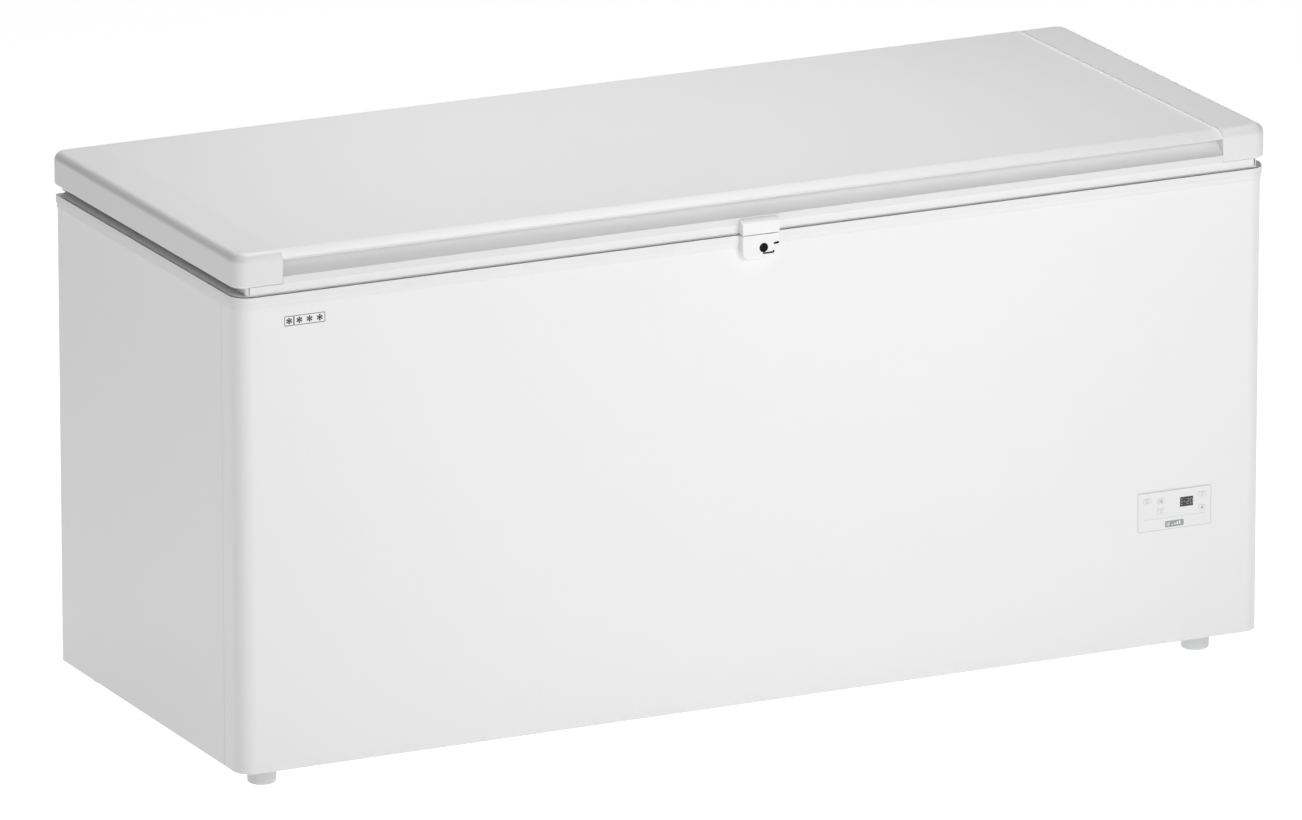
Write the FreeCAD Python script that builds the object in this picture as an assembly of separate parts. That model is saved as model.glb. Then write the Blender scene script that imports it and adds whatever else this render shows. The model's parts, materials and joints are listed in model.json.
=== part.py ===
"""Commercial chest freezer: hinged solid lid, foamed cabinet, machine bay under a tank step.

Millimetres. +X runs along the width to the right, -Y is the front, +Z is up.
The origin is the middle of the footprint at floor level.
"""
import FreeCAD, Part
import math
import os

V = FreeCAD.Vector

# ---------------------------------------------------------------- driving dimensions
# Cabinet
shell_width = 1708.0
shell_depth = 656.0
cabinet_height = 731.3        # shell bottom edge to the top of the collar
foot_height = 28.0
front_corner_radius = 27.0
rear_corner_radius = 4.0
sheet = 1.0                   # thickness of the painted sheets and of the liner
wall = 70.0                   # shell face to the inside of the liner
floor_thickness = 75.0
tank_corner_radius = 20.0
seam_setback = 58.0           # front sheet wraps this far back on each side
seam_gap = 0.6
seam_notch = 3.0
bottom_flange = 12.0
rear_return = 15.0            # side sheets fold this far on to the back

# Machine bay under the step in the tank
bay_width = 300.0
bay_height = 250.0
step_wall = 60.0
machine_base_thickness = 2.0

# Collar round the mouth of the tank
collar_overhang = 2.5
collar_band = 12.0
collar_lip = 8.0
collar_lip_overhang = 1.0
collar_wall = 3.0
ledge_depth = 15.0
ledge_width = 12.0
collar_drop = 14.0

# Lid
lid_gap = 1.2
lid_height = 61.5             # underside of the tray to the top sheet
lid_rear_overhang = 18.0
cap_length = 74.0
cap_rise = 3.0
cap_overhang = 3.0
cap_corner_radius = 22.0
cap_edge_radius = 14.0
cap_wall = 3.0
cap_chamfer = 2.0
window_front = 12.0           # opening in the cap's inner web, from the front profile's lip
window_rear = 20.0
window_margin = 6.0
skirt_height = 13.5
skirt_side_inset = 15.0
skirt_front_inset = 0.8
tray_corner_radius = 5.0
tray_wall = 2.5
tray_field_margin = 30.0      # raised field of the tray, inside the liner's face
tray_field_rise = 4.0
slit_width = 2.0              # relief slit through the skirt beside each front corner
slit_from_corner = 5.0
slit_length = 10.0
gasket_inset = -1.0           # shell face to the seal's edge, which lies just outside it
gasket_width = 26.0
lip_set_back = 21.0
lip_crown_back = 9.5          # highest bend of the lip, from the front
lip_crown_below = 3.5         # and under the top sheet
lip_nose_back = 1.2
lip_nose_height = 2.2
lip_tuck = 0.8
lip_land = 10.0               # strip of the profile that carries the top sheet
grip_depth = 20.0
grip_ceiling = 6.0            # lip's edge to the top of the curved back
grip_shoulder = 5.0
grip_steps = 6
grip_flatness = 1.6           # 1 bends the grip's back as an ellipse, 2 makes it a flat slope
band_height = 11.5
lip_height = 10.5             # grip's upper edge to the top sheet
grip_height = lid_height - skirt_height - band_height - lip_height
profile_wall = 2.5
rear_edge_radius = 0.8

# Hinges
hinge_spacing = 1120.0
hinge_width = 60.0
hinge_plate_height = 110.0
hinge_plate_thickness = 3.0
hinge_axis_behind = 10.5      # behind the back sheet
hinge_axis_below = 6.0        # below the underside of the lid
knuckle_radius = 5.0
pin_radius = 2.5
leaf_thickness = 1.0
knuckle_gap = 0.5
knuckle_clearance = 0.05
hinge_arm_low = 40.0          # foot of the arm under the bracket's top edge
hinge_arm_high = 30.0
hinge_arm_bulge = 3.0
hinge_arm_shoulder = 10.0
hinge_screw_radius = 2.5
hinge_screw_drops = (20.0, 55.0, 90.0)
leaf_front = 3.0
leaf_rear = 2.0
neck_half = 2.5
neck_clearance = 1.0
spring_length = 14.0
spring_wire = 0.9
spring_turns = 5
spring_clearance = 0.25

# Lock
lock_offset = -4.0            # middle of the lock from the middle of the cabinet
lock_width = 61.0
lock_projection = 13.0
lock_height = 36.0
lock_corner_radius = 13.0
catch_height = 17.5
lock_edge_radius = 1.5
lock_face = 2.5               # thickness of the case in front of the hook
lock_back = 1.2
lock_gap = 0.3
catch_slope = 5.0             # rise of the catch's top towards the lid
cylinder_radius = 7.0
cylinder_offset = 4.0
cylinder_below_rim = 20.5
keyway_width = 1.6
keyway_height = 8.0
hook_hub = 4.0
hook_inner = 8.0
hook_outer = 10.5
hook_thickness = 1.6
hook_start = -35.0            # degrees from +X towards +Z with the lock open
hook_end = 40.0
hook_web = 20.0
bar_height = 6.0              # tongue's bar above the cylinder's axis
bar_radius = 1.2
tongue_width = 16.0
tongue_thickness = 2.0

# Controls
panel_width = 126.0
panel_height = 62.0
panel_from_right = 151.7
panel_above_base = 211.5
panel_proud = 0.8
panel_edge = 4.0
panel_corner_radius = 2.0
fascia_thickness = 2.0
control_depth = 32.0
housing_wall = 2.0
board_setback = 8.0
board_thickness = 1.6
switch_size = 6.0
switch_height = 3.0
display_width = 22.4
display_height = 15.0
display_right = 20.7
display_up = 9.6
key_width = 11.0
key_height = 7.5
key_gap = 0.25
key_length = 5.0
key_proud = 0.4

# Refrigeration
evaporator_radius = 4.0
condenser_radius = 3.0
line_radius = 3.0
coil_pitch = 80.0
coil_clearance = 0.5
coil_end = 20.0               # length of coil that stands out into the bay
coil_drop_clear = 30.0        # descending leg of a coil to the bay
evaporator_above_floor = 37.0
evaporator_below_ledge = 43.0
evaporator_turn_clear = 60.0
condenser_above_base = 60.0
condenser_below_collar = 40.0
condenser_turn_clear = 100.0
compressor_radius = 76.0
compressor_height = 168.0
compressor_dome = 34.0        # rounding of its top and bottom
compressor_seam = 0.55        # height of the welded rim, as a share of the shell's
compressor_rim = 5.0
compressor_rim_height = 4.0
compressor_shift = 4.0        # from the middle of the bay
compressor_from_back = 215.0
compressor_plate = 3.0
foot_plate_length = 204.0
foot_plate_depth = 156.0
foot_plate_radius = 14.0
foot_boss_radius = 55.0
foot_boss_height = 12.0
bolt_spacing_x = 172.0
bolt_spacing_y = 124.0
bolt_radius = 4.0
bolt_clearance = 0.5
bolt_head_radius = 6.5
bolt_head_height = 5.0
washer_radius = 10.0
washer_thickness = 1.5
grommet_height = 15.0
grommet_radius = 11.0
relay_width = 64.0
relay_out = 26.0              # relay cover past the compressor's shell
relay_in = 20.0
relay_low = 40.0
relay_height = 48.0
relay_corner_radius = 6.0
filter_from_bay = 70.0
filter_from_front = 150.0
filter_above_base = 130.0
filter_radius = 9.0
filter_neck = 14.0
filter_length = 70.0
port_side = 30.0              # discharge port beside the compressor's middle
port_height = 60.0
port_rise = 60.0
line_turn = 40.0
line_bend = 18.0
line_tight_bend = 12.0
line_small_bend = 10.0

# Vents
slat_pitch = 14.0
slot_height = 6.0
side_grille_length = 250.0
side_grille_height = 150.0
side_grille_above_base = 60.0
grille_flange = 10.0
grille_thickness = 2.0
cover_margin = 24.0
screw_radius = 2.0
screw_head_height = 2.4
inlet_width = 30.0
inlet_height = 22.0
inlet_depth = 22.0
inlet_recess = 14.0
inlet_wall = 2.0
inlet_corner = 3.0            # inlet's place inside the bay cover's corner
inlet_flange = 2.0
inlet_flange_thickness = 1.5
inlet_pin_length = 8.0
inlet_pin_width = 2.0
inlet_pin_height = 4.0
inlet_pins = ((-7.0, -2.0), (0.0, 3.0), (7.0, -2.0))

# Feet and drain
foot_radius = 22.5
foot_taper = 1.0
foot_edge_radius = 4.0
foot_from_front = 45.0
foot_from_left = 54.0
foot_from_right = 90.0
stud_radius = 5.0
stud_length = 18.0
stud_socket = 5.0             # stud's length inside the pad
stud_headroom = 2.0
stud_sleeve = 3.0             # foam is kept this far from a stud
running = 0.08                # radial clearance of a turning fit
seat_gap = 0.3                # clearance between moving pieces that rest near each other
drain_radius = 12.0
drain_wall = 2.0
drain_from_left = 260.0
drain_below_base = 4.0
plug_length = 16.0
plug_rim = 6.0
plug_rim_thickness = 3.0
plug_grip_width = 18.0
plug_grip_thickness = 4.0
plug_grip_height = 10.0

# Baskets
basket_width = 260.0
basket_height = 220.0
basket_wall = 3.0
basket_taper = 12.0
basket_end_gap = 6.0
basket_side_gap = 7.0         # tub to the front and rear walls
hook_reach = 8.0
hook_height = 5.0
ledge_clearance = 0.3

# ---------------------------------------------------------------- derived places
x_shell = shell_width / 2
y_front = -(lock_projection + shell_depth + lid_rear_overhang) / 2 + lock_projection
y_back = y_front + shell_depth
z_base = foot_height
z_rim = z_base + cabinet_height
z_sheet_top = z_rim - collar_wall
z_floor = z_base + floor_thickness
z_under = z_base + sheet                       # top of the bottom flanges
z_bay = z_base + bay_height
z_step = z_bay + step_wall
x_bay = x_shell - bay_width
x_step = x_bay - step_wall
z_ledge = z_rim - ledge_depth
z_lid = z_rim + lid_gap
z_skirt = z_lid + skirt_height
z_lid_top = z_lid + lid_height
z_cap_top = z_lid_top + cap_rise
y_lid_back = y_back + lid_rear_overhang
x_seam = x_shell - cap_length                  # joint between top sheet and end caps
x_tank = x_shell - wall
y_tank_front = y_front + wall
y_tank_back = y_back - wall
hinge_y = y_back + hinge_axis_behind
hinge_z = z_lid - hinge_axis_below
hinge_x = hinge_spacing / 2
lock_y = y_front - lock_projection
cylinder_x = lock_offset + cylinder_offset
cylinder_z = z_rim - cylinder_below_rim
panel_x = x_shell - panel_from_right
panel_z = z_base + panel_above_base
evaporator_inset = wall - sheet - coil_clearance - evaporator_radius
condenser_inset = sheet + coil_clearance + condenser_radius

REACH = 3000.0                                 # larger than the whole object


# ---------------------------------------------------------------- helpers
def box(x0, x1, y0, y1, z0, z1):
    """Axis-aligned block between two corners."""
    return Part.makeBox(x1 - x0, y1 - y0, z1 - z0, V(x0, y0, z0))


def cylinder(centre, direction, radius, length):
    """Round bar that starts at centre."""
    return Part.makeCylinder(radius, length, V(*centre), V(*direction))


def prism(points, direction):
    """Flat polygon pushed along a direction."""
    wire = Part.makePolygon([V(*p) for p in points] + [V(*points[0])])
    return Part.Face(wire).extrude(V(*direction))


def plan_edges(x0, x1, y0, y1, z, front_radius, rear_radius):
    """Outline of a rectangle in plan with rounded front and rear corners."""
    radii = [front_radius, front_radius, rear_radius, rear_radius]
    corners = [(x0, y0), (x1, y0), (x1, y1), (x0, y1)]
    edges = []
    ends = []
    for index, (cx, cy) in enumerate(corners):
        r = radii[index]
        before = corners[index - 1]
        after = corners[(index + 1) % 4]
        into = V(cx - before[0], cy - before[1], 0).normalize()
        out = V(after[0] - cx, after[1] - cy, 0).normalize()
        corner = V(cx, cy, z)
        start = corner - into * r
        end = corner + out * r
        ends.append((start, end))
        if r > 0:
            middle = corner + (out - into) * r - (out - into).normalize() * r
            edges.append(Part.Arc(start, middle, end).toShape())
    for index in range(4):
        start = ends[index][1]
        end = ends[(index + 1) % 4][0]
        edges.append(Part.makeLine(start, end))
    return edges


def plate(x0, x1, y0, y1, z0, z1, front_radius=0.0, rear_radius=0.0):
    """Upright prism on a rounded rectangle."""
    edges = plan_edges(x0, x1, y0, y1, z0, front_radius, rear_radius)
    wire = Part.Wire(Part.__sortEdges__(edges))
    return Part.Face(wire).extrude(V(0, 0, z1 - z0))


def shell_plate(inset, z0, z1):
    """The cabinet's plan, drawn in (or out, when negative) by an inset."""
    front = max(front_corner_radius - inset, 0.0)
    rear = max(rear_corner_radius - inset, 0.0)
    return plate(
        -x_shell + inset, x_shell - inset, y_front + inset, y_back - inset, z0, z1, front, rear
    )


def tank_plate(inset, z0, z1, x_right=None):
    """The tank's plan inside the liner, drawn out when inset is negative."""
    right = x_tank - inset if x_right is None else x_right
    radius = max(tank_corner_radius - inset, 0.0)
    return plate(
        -x_tank + inset, right, y_tank_front + inset, y_tank_back - inset, z0, z1, radius, radius
    )


def bent_edges(route):
    """Straight runs joined by tangent arcs; route holds (point, bend radius) pairs."""
    points = [V(*p) for p, _ in route]
    edges = []
    here = points[0]
    for index in range(1, len(points) - 1):
        corner = points[index]
        radius = route[index][1]
        into = (corner - points[index - 1]).normalize()
        out = (points[index + 1] - corner).normalize()
        turn = into.getAngle(out)
        reach = radius * math.tan(turn / 2)
        start = corner - into * reach
        end = corner + out * reach
        inward = (out - into).normalize()
        centre = corner + inward * (radius / math.cos(turn / 2))
        middle = centre - inward * radius
        if (start - here).Length > 1e-6:
            edges.append(Part.makeLine(here, start))
        edges.append(Part.Arc(start, middle, end).toShape())
        here = end
    edges.append(Part.makeLine(here, points[-1]))
    return edges


def tube(route, radius):
    """Round bar along a bent route."""
    spine = Part.Wire(bent_edges(route))
    start = V(*route[0][0])
    direction = V(*route[1][0]) - start
    circle = Part.Wire([Part.makeCircle(radius, start, direction)])
    return spine.makePipeShell([circle], True, False)


def serpentine(plan, levels, corner_radius, first, last):
    """Route that runs along a plan path at each level and turns back at its ends."""
    route = [(first, 0.0)]
    half = (levels[1] - levels[0]) / 2
    for index, z in enumerate(levels):
        ordered = plan if index % 2 == 0 else plan[::-1]
        for place, (x, y) in enumerate(ordered):
            at_end = place in (0, len(ordered) - 1)
            route.append(((x, y, z), half if at_end else corner_radius))
    del route[1]
    route.pop()
    for point in last[:-1]:
        route.append((point, half))
    route.append((last[-1], 0.0))
    return route


def cut_all(solid, tools):
    """Cut every tool whose box meets the solid's box."""
    for tool in tools:
        if solid.BoundBox.intersect(tool.BoundBox):
            solid = solid.cut(tool)
    return solid


def group(solids):
    """Separate solids that share one node."""
    return Part.makeCompound(solids)


def refined(shape):
    """The same shape with its coplanar faces merged."""
    return shape.removeSplitter()


def write(name, shape):
    """Write one node; a one-solid compound becomes its solid."""
    if len(shape.Solids) == 1:
        shape = shape.Solids[0]
    assert shape.isValid(), name
    shape.exportStep("parts/" + name + ".step")
    nodes.append(name)


# ---------------------------------------------------------------- cabinet skin
def shell_ring():
    """All outer sheets in one piece, with a flange turned in at the bottom."""
    ring = shell_plate(0, z_base, z_sheet_top).cut(shell_plate(sheet, z_under, z_sheet_top))
    return ring.cut(shell_plate(sheet + bottom_flange, z_base, z_under))


def front_panel(ring):
    """Front sheet with both corners and side returns, pierced for the controls."""
    region = box(-REACH, REACH, -REACH, y_front + seam_setback - seam_gap / 2, 0, REACH)
    panel = ring.common(region)
    hole = box(
        panel_x - panel_width / 2 + panel_edge, panel_x + panel_width / 2 - panel_edge,
        y_front - sheet, y_front + 2 * sheet,
        panel_z - panel_height / 2 + panel_edge, panel_z + panel_height / 2 - panel_edge,
    )
    return panel.cut(hole)


def side_panel(ring, side):
    """One side sheet, folded on to the back; side is -1 for left and 1 for right."""
    start = y_front + seam_setback + seam_gap / 2
    inner = x_shell - rear_return
    near = box(inner, REACH, start, REACH, 0, REACH)
    if side < 0:
        near = near.mirror(V(0, 0, 0), V(1, 0, 0))
    panel = ring.common(near)
    notch = box(x_shell - 5 * sheet, x_shell + sheet, start - sheet, start + seam_notch,
                z_base - sheet, z_base + seam_notch)
    if side < 0:
        return panel.cut(notch.mirror(V(0, 0, 0), V(1, 0, 0)))
    return panel.cut(notch).cut(side_grille_hole())


def rear_panel(ring):
    """Back sheet between the folds of the side sheets, open over the machine bay."""
    edge = x_shell - rear_return - seam_gap
    panel = ring.common(box(-edge, edge, y_back - 2 * bottom_flange, REACH, 0, REACH))
    pilots = [screw_bore(x, z, screw_radius) for x, z in cover_screw_places()]
    return cut_all(panel.cut(rear_cover_hole()), pilots)


def side_grille_hole():
    """Opening in the right side sheet for the vent grille."""
    middle = (y_front + y_back) / 2
    z0 = z_base + side_grille_above_base
    return box(x_shell - 2 * sheet, x_shell + sheet,
               middle - side_grille_length / 2, middle + side_grille_length / 2,
               z0, z0 + side_grille_height)


def rear_cover_hole():
    """Opening in the back sheet for reaching the machine bay."""
    return box(x_bay + cover_margin, x_shell - rear_return - cover_margin,
               y_back - 2 * sheet, y_back + sheet,
               z_base + cover_margin, z_bay - cover_margin)


def slotted(solid, axis, hole, margin):
    """Cut a ladder of horizontal slots through a plate, inside the hole's outline."""
    limits = hole.BoundBox
    count = int((limits.ZLength - 2 * margin) // slat_pitch)
    first = (limits.ZMin + limits.ZMax) / 2 - (count - 1) * slat_pitch / 2
    for index in range(count):
        z = first + index * slat_pitch
        z0, z1 = z - slot_height / 2, z + slot_height / 2
        if axis == "x":
            slot = box(limits.XMin - REACH, limits.XMax + REACH,
                       limits.YMin + margin, limits.YMax - margin, z0, z1)
        else:
            slot = box(limits.XMin + margin, limits.XMax - margin,
                       limits.YMin - REACH, limits.YMax + REACH, z0, z1)
        solid = solid.cut(slot)
    return solid


def side_vent_grille():
    """Moulded grille that clips into the right side sheet."""
    hole = side_grille_hole()
    b = hole.BoundBox
    flange = box(x_shell, x_shell + grille_thickness, b.YMin - grille_flange, b.YMax + grille_flange,
                 b.ZMin - grille_flange, b.ZMax + grille_flange)
    neck = box(x_shell - 3 * sheet, x_shell, b.YMin + seat_gap, b.YMax - seat_gap,
               b.ZMin + seat_gap, b.ZMax - seat_gap)
    return slotted(flange.fuse(neck), "x", hole, grille_flange)


def rear_cover():
    """Slotted cover of the machine bay, screwed on the back sheet."""
    hole = rear_cover_hole()
    b = hole.BoundBox
    cover = box(b.XMin - grille_flange, b.XMax + grille_flange, y_back, y_back + sheet,
                b.ZMin - grille_flange, b.ZMax + grille_flange)
    cover = slotted(cover, "y", hole, 2 * grille_flange)
    inlet = power_inlet_outline(seat_gap)
    cover = cover.cut(inlet)
    return cut_all(cover, [screw_bore(x, z, screw_radius + running) for x, z in cover_screw_places()])


def screw_bore(x, z, radius):
    """Hole for one cover screw through the cover and the back sheet."""
    return cylinder((x, y_back - 4 * sheet, z), (0, 1, 0), radius, 8 * sheet)


def cover_screw_places():
    """Four corners of the bay cover."""
    b = rear_cover_hole().BoundBox
    half = grille_flange / 2
    return [(x, z) for x in (b.XMin - half, b.XMax + half) for z in (b.ZMin - half, b.ZMax + half)]


def rear_cover_screws():
    """Pan-head screws of the bay cover."""
    screws = []
    for x, z in cover_screw_places():
        shank = cylinder((x, y_back - 7 * sheet, z), (0, 1, 0), screw_radius, 8 * sheet)
        head = cylinder((x, y_back + sheet, z), (0, 1, 0), 2 * screw_radius, screw_head_height)
        screws.append(shank.fuse(head))
    return group(screws)


def power_inlet_outline(extra):
    """Body of the appliance inlet in the bay cover's lower left corner."""
    b = rear_cover_hole().BoundBox
    x0 = b.XMin + inlet_corner
    z0 = b.ZMin + grille_flange - inlet_corner
    return box(x0 - extra, x0 + inlet_width + extra, y_back - inlet_depth, y_back + 2 * sheet,
               z0 - extra, z0 + inlet_height + extra)


def power_inlet():
    """Three-pin appliance inlet with its flange."""
    body = power_inlet_outline(0)
    b = body.BoundBox
    mouth = y_back + sheet + inlet_flange_thickness
    flange = box(b.XMin - inlet_flange, b.XMax + inlet_flange, y_back + sheet, mouth,
                 b.ZMin - inlet_flange, b.ZMax + inlet_flange)
    recess = box(b.XMin + inlet_wall, b.XMax - inlet_wall, mouth - inlet_recess, mouth + sheet,
                 b.ZMin + inlet_wall, b.ZMax - inlet_wall)
    inlet = body.fuse(flange).cut(recess)
    middle_x = (b.XMin + b.XMax) / 2
    middle_z = (b.ZMin + b.ZMax) / 2
    for dx, dz in inlet_pins:
        x, z = middle_x + dx, middle_z + dz
        pin = box(x - inlet_pin_width / 2, x + inlet_pin_width / 2,
                  mouth - inlet_recess, mouth - inlet_recess + inlet_pin_length,
                  z - inlet_pin_height / 2, z + inlet_pin_height / 2)
        inlet = inlet.fuse(pin)
    return refined(inlet)


# ---------------------------------------------------------------- collar
def collar_ring():
    """Plastic frame round the tank's mouth, with a ledge for the baskets."""
    top = shell_plate(-collar_overhang, z_rim - collar_band, z_rim)
    top = top.cut(shell_plate(0, z_rim - collar_band, z_sheet_top))
    lip = shell_plate(-collar_lip_overhang, z_rim - collar_band - collar_lip, z_rim - collar_band)
    lip = lip.cut(shell_plate(0, z_rim - collar_band - collar_lip, z_rim - collar_band))
    mouth = tank_plate(-ledge_width + collar_wall, z_ledge, REACH)
    riser = tank_plate(-ledge_width, z_ledge - collar_wall, z_sheet_top)
    ledge_hole = tank_plate(collar_wall, 0, z_ledge + collar_wall)
    drop = tank_plate(0, z_ledge - collar_wall - collar_drop, z_ledge - collar_wall)
    ring = top.fuse(lip).fuse(riser).fuse(drop)
    ring = ring.cut(mouth).cut(ledge_hole)
    ring = ring.cut(tank_plate(-ledge_width, z_ledge - collar_wall - collar_drop, z_ledge - collar_wall)
                    .cut(tank_plate(0, z_ledge - collar_wall - collar_drop, z_ledge - collar_wall)))
    return refined(ring)


def collar_rail(ring, side):
    """One of the ring's four rails; the left and right ones carry the corners."""
    end = x_tank - tank_corner_radius
    front_end = y_tank_front + tank_corner_radius
    back_end = y_tank_back - tank_corner_radius
    if side == "front":
        return ring.common(box(-end, end, -REACH, front_end, 0, REACH))
    if side == "rear":
        return ring.common(box(-end, end, back_end, REACH, 0, REACH))
    low, high = (-REACH, -end) if side == "left" else (end, REACH)
    front_corner = ring.common(box(low, high, -REACH, front_end, 0, REACH))
    middle = ring.common(box(low, high, front_end, back_end, 0, REACH))
    back_corner = ring.common(box(low, high, back_end, REACH, 0, REACH))
    return group([front_corner, middle, back_corner])


# ---------------------------------------------------------------- tank and insulation
def liner_wall():
    """Walls of the tank; the lower part stops at the step."""
    top = z_ledge - collar_wall
    upper = tank_plate(-sheet, z_step, top).cut(tank_plate(0, z_step, top))
    lower = tank_plate(-sheet, z_floor, z_step).cut(tank_plate(0, z_floor, z_step))
    lower = lower.common(box(-REACH, x_step, -REACH, REACH, 0, REACH))
    return refined(upper.fuse(lower))


def liner_floor():
    """Floor, riser and top of the step as one bent sheet."""
    middle = tank_plate(-sheet, z_floor - sheet, z_step)
    floor = middle.common(box(-REACH, x_step, -REACH, REACH, z_floor - sheet, z_floor))
    riser = box(x_step - sheet, x_step, y_tank_front, y_tank_back, z_floor, z_step)
    step = tank_plate(-sheet, z_step - sheet, z_step)
    step = step.common(box(x_step, REACH, -REACH, REACH, 0, REACH))
    sheet_metal = floor.fuse(riser).fuse(step)
    return refined(sheet_metal.cut(drain_bore(0.0)))


def foam_front_rear():
    """Front and rear foam walls, both notched for the machine bay."""
    block = shell_plate(sheet, z_under + sheet, z_sheet_top)
    notch = box(x_bay, REACH, -REACH, REACH, 0, z_bay)
    block = block.cut(notch)
    front = block.common(box(-REACH, REACH, -REACH, y_tank_front - sheet, 0, REACH))
    rear = block.common(box(-REACH, REACH, y_tank_back + sheet, REACH, 0, REACH))
    return front, rear


def foam_sides():
    """Left and right foam walls between the front and rear ones."""
    y0, y1 = y_tank_front - sheet, y_tank_back + sheet
    left = box(-x_shell + sheet, -x_tank - sheet, y0, y1, z_under + sheet, z_sheet_top)
    right = box(x_tank + sheet, x_shell - sheet, y0, y1, z_bay, z_sheet_top)
    return left, right


def foam_floor():
    """Foam under the tank floor."""
    return box(-x_tank - sheet, x_bay, y_tank_front - sheet, y_tank_back + sheet,
               z_under + sheet, z_floor - sheet)


def foam_step():
    """Foam round the machine bay: a riser and a roof."""
    y0, y1 = y_tank_front - sheet, y_tank_back + sheet
    riser = box(x_step, x_bay, y0, y1, z_floor - sheet, z_step - sheet)
    roof = box(x_bay, x_tank + sheet, y0, y1, z_bay, z_step - sheet)
    return refined(riser.fuse(roof))


def collar_seat():
    """Space of the collar's inner step, taken out of the foam."""
    return tank_plate(-ledge_width, z_ledge - collar_wall, z_sheet_top)


# ---------------------------------------------------------------- refrigeration
def coil_levels(lowest, highest):
    """Evenly pitched levels, an even number of them, so both ends come out on one side."""
    count = 2 * int((highest - lowest) // (2 * coil_pitch)) + 2
    while lowest + (count - 1) * coil_pitch > highest:
        count -= 2
    return [lowest + index * coil_pitch for index in range(count)]


def evaporator_route():
    """Cold coil round the back, left and front of the tank."""
    levels = coil_levels(z_floor + evaporator_above_floor, z_ledge - evaporator_below_ledge)
    x_left = -x_shell + evaporator_inset
    y_b = y_back - evaporator_inset
    y_f = y_front + evaporator_inset
    turn_x = x_step - evaporator_turn_clear
    plan = [(turn_x, y_b), (x_left, y_b), (x_left, y_f), (turn_x, y_f)]
    z_exit = levels[0] + 0.5 * coil_pitch
    drop_x = x_bay - coil_drop_clear
    first = (x_bay + coil_end, y_b, levels[0])
    last = [(drop_x, y_b, levels[-1]), (drop_x, y_b, z_exit), (x_bay + coil_end, y_b, z_exit)]
    return serpentine(plan, levels, tank_corner_radius + sheet + coil_clearance + evaporator_radius,
                      first, last)


def condenser_route():
    """Warm coil behind the front and left sheets."""
    levels = coil_levels(z_base + condenser_above_base,
                         z_rim - collar_band - condenser_below_collar)
    x_left = -x_shell + condenser_inset
    y_f = y_front + condenser_inset
    turn_x = x_bay - condenser_turn_clear
    plan = [(turn_x, y_f), (x_left, y_f), (x_left, y_back - wall)]
    z_exit = levels[0] + 0.5 * coil_pitch
    drop_x = x_bay - coil_drop_clear
    first = (x_bay + coil_end, y_f, levels[0])
    last = [(drop_x, y_f, levels[-1]), (drop_x, y_f, z_exit), (x_bay + coil_end, y_f, z_exit)]
    return serpentine(plan, levels, front_corner_radius - condenser_inset, first, last)


def compressor_place():
    """Middle of the compressor on the machine base."""
    return ((x_bay + x_shell) / 2 + compressor_shift, y_back - compressor_from_back,
            z_under + machine_base_thickness)


def compressor_corners():
    """Four fixing points of the compressor plate."""
    cx, cy, _ = compressor_place()
    return [(cx + sx * bolt_spacing_x / 2, cy + sy * bolt_spacing_y / 2)
            for sx in (-1, 1) for sy in (-1, 1)]


def compressor():
    """Hermetic compressor: two welded domes on a pressed foot plate."""
    cx, cy, z0 = compressor_place()
    bottom = z0 + grommet_height
    top = bottom + compressor_height
    seam = bottom + compressor_seam * compressor_height
    r = compressor_radius
    rim = r + compressor_rim
    dome = compressor_dome
    flat = r - dome
    bulge = dome * math.sin(math.pi / 4)

    def at(radius, z):
        return V(cx + radius, cy, z)

    outline = [
        Part.makeLine(at(0, bottom), at(flat, bottom)),
        Part.Arc(at(flat, bottom), at(flat + bulge, bottom + dome - bulge),
                 at(r, bottom + dome)).toShape(),
        Part.makeLine(at(r, bottom + dome), at(r, seam)),
        Part.makeLine(at(r, seam), at(rim, seam)),
        Part.makeLine(at(rim, seam), at(rim, seam + compressor_rim_height)),
        Part.makeLine(at(rim, seam + compressor_rim_height), at(r, seam + compressor_rim_height)),
        Part.makeLine(at(r, seam + compressor_rim_height), at(r, top - dome)),
        Part.Arc(at(r, top - dome), at(flat + bulge, top - dome + bulge), at(flat, top)).toShape(),
        Part.makeLine(at(flat, top), at(0, top)),
        Part.makeLine(at(0, top), at(0, bottom)),
    ]
    body = Part.Face(Part.Wire(outline)).revolve(V(cx, cy, 0), V(0, 0, 1), 360)
    foot = plate(cx - foot_plate_length / 2, cx + foot_plate_length / 2,
                 cy - foot_plate_depth / 2, cy + foot_plate_depth / 2,
                 bottom, bottom + compressor_plate, foot_plate_radius, foot_plate_radius)
    foot = foot.fuse(cylinder((cx, cy, bottom), (0, 0, 1), foot_boss_radius, foot_boss_height))
    for x, y in compressor_corners():
        hole = cylinder((x, y, z0), (0, 0, 1), bolt_radius + bolt_clearance, compressor_height)
        foot = foot.cut(hole)
    return body.fuse(foot)


def compressor_grommets():
    """Rubber mounts between the machine base and the compressor plate."""
    z0 = compressor_place()[2]
    grommets = []
    for x, y in compressor_corners():
        ring = cylinder((x, y, z0), (0, 0, 1), grommet_radius, grommet_height)
        grommets.append(ring.cut(cylinder((x, y, z0), (0, 0, 1), bolt_radius, grommet_height)))
    return group(grommets)


def compressor_bolts():
    """Bolts with washers through the grommets."""
    z0 = compressor_place()[2]
    top = z0 + grommet_height + compressor_plate
    bolts = []
    for x, y in compressor_corners():
        shank = cylinder((x, y, z0), (0, 0, 1), bolt_radius, top - z0)
        washer = cylinder((x, y, top), (0, 0, 1), washer_radius, washer_thickness)
        head = cylinder((x, y, top + washer_thickness), (0, 0, 1), bolt_head_radius, bolt_head_height)
        bolts.append(shank.fuse(washer).fuse(head))
    return group(bolts)


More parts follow.
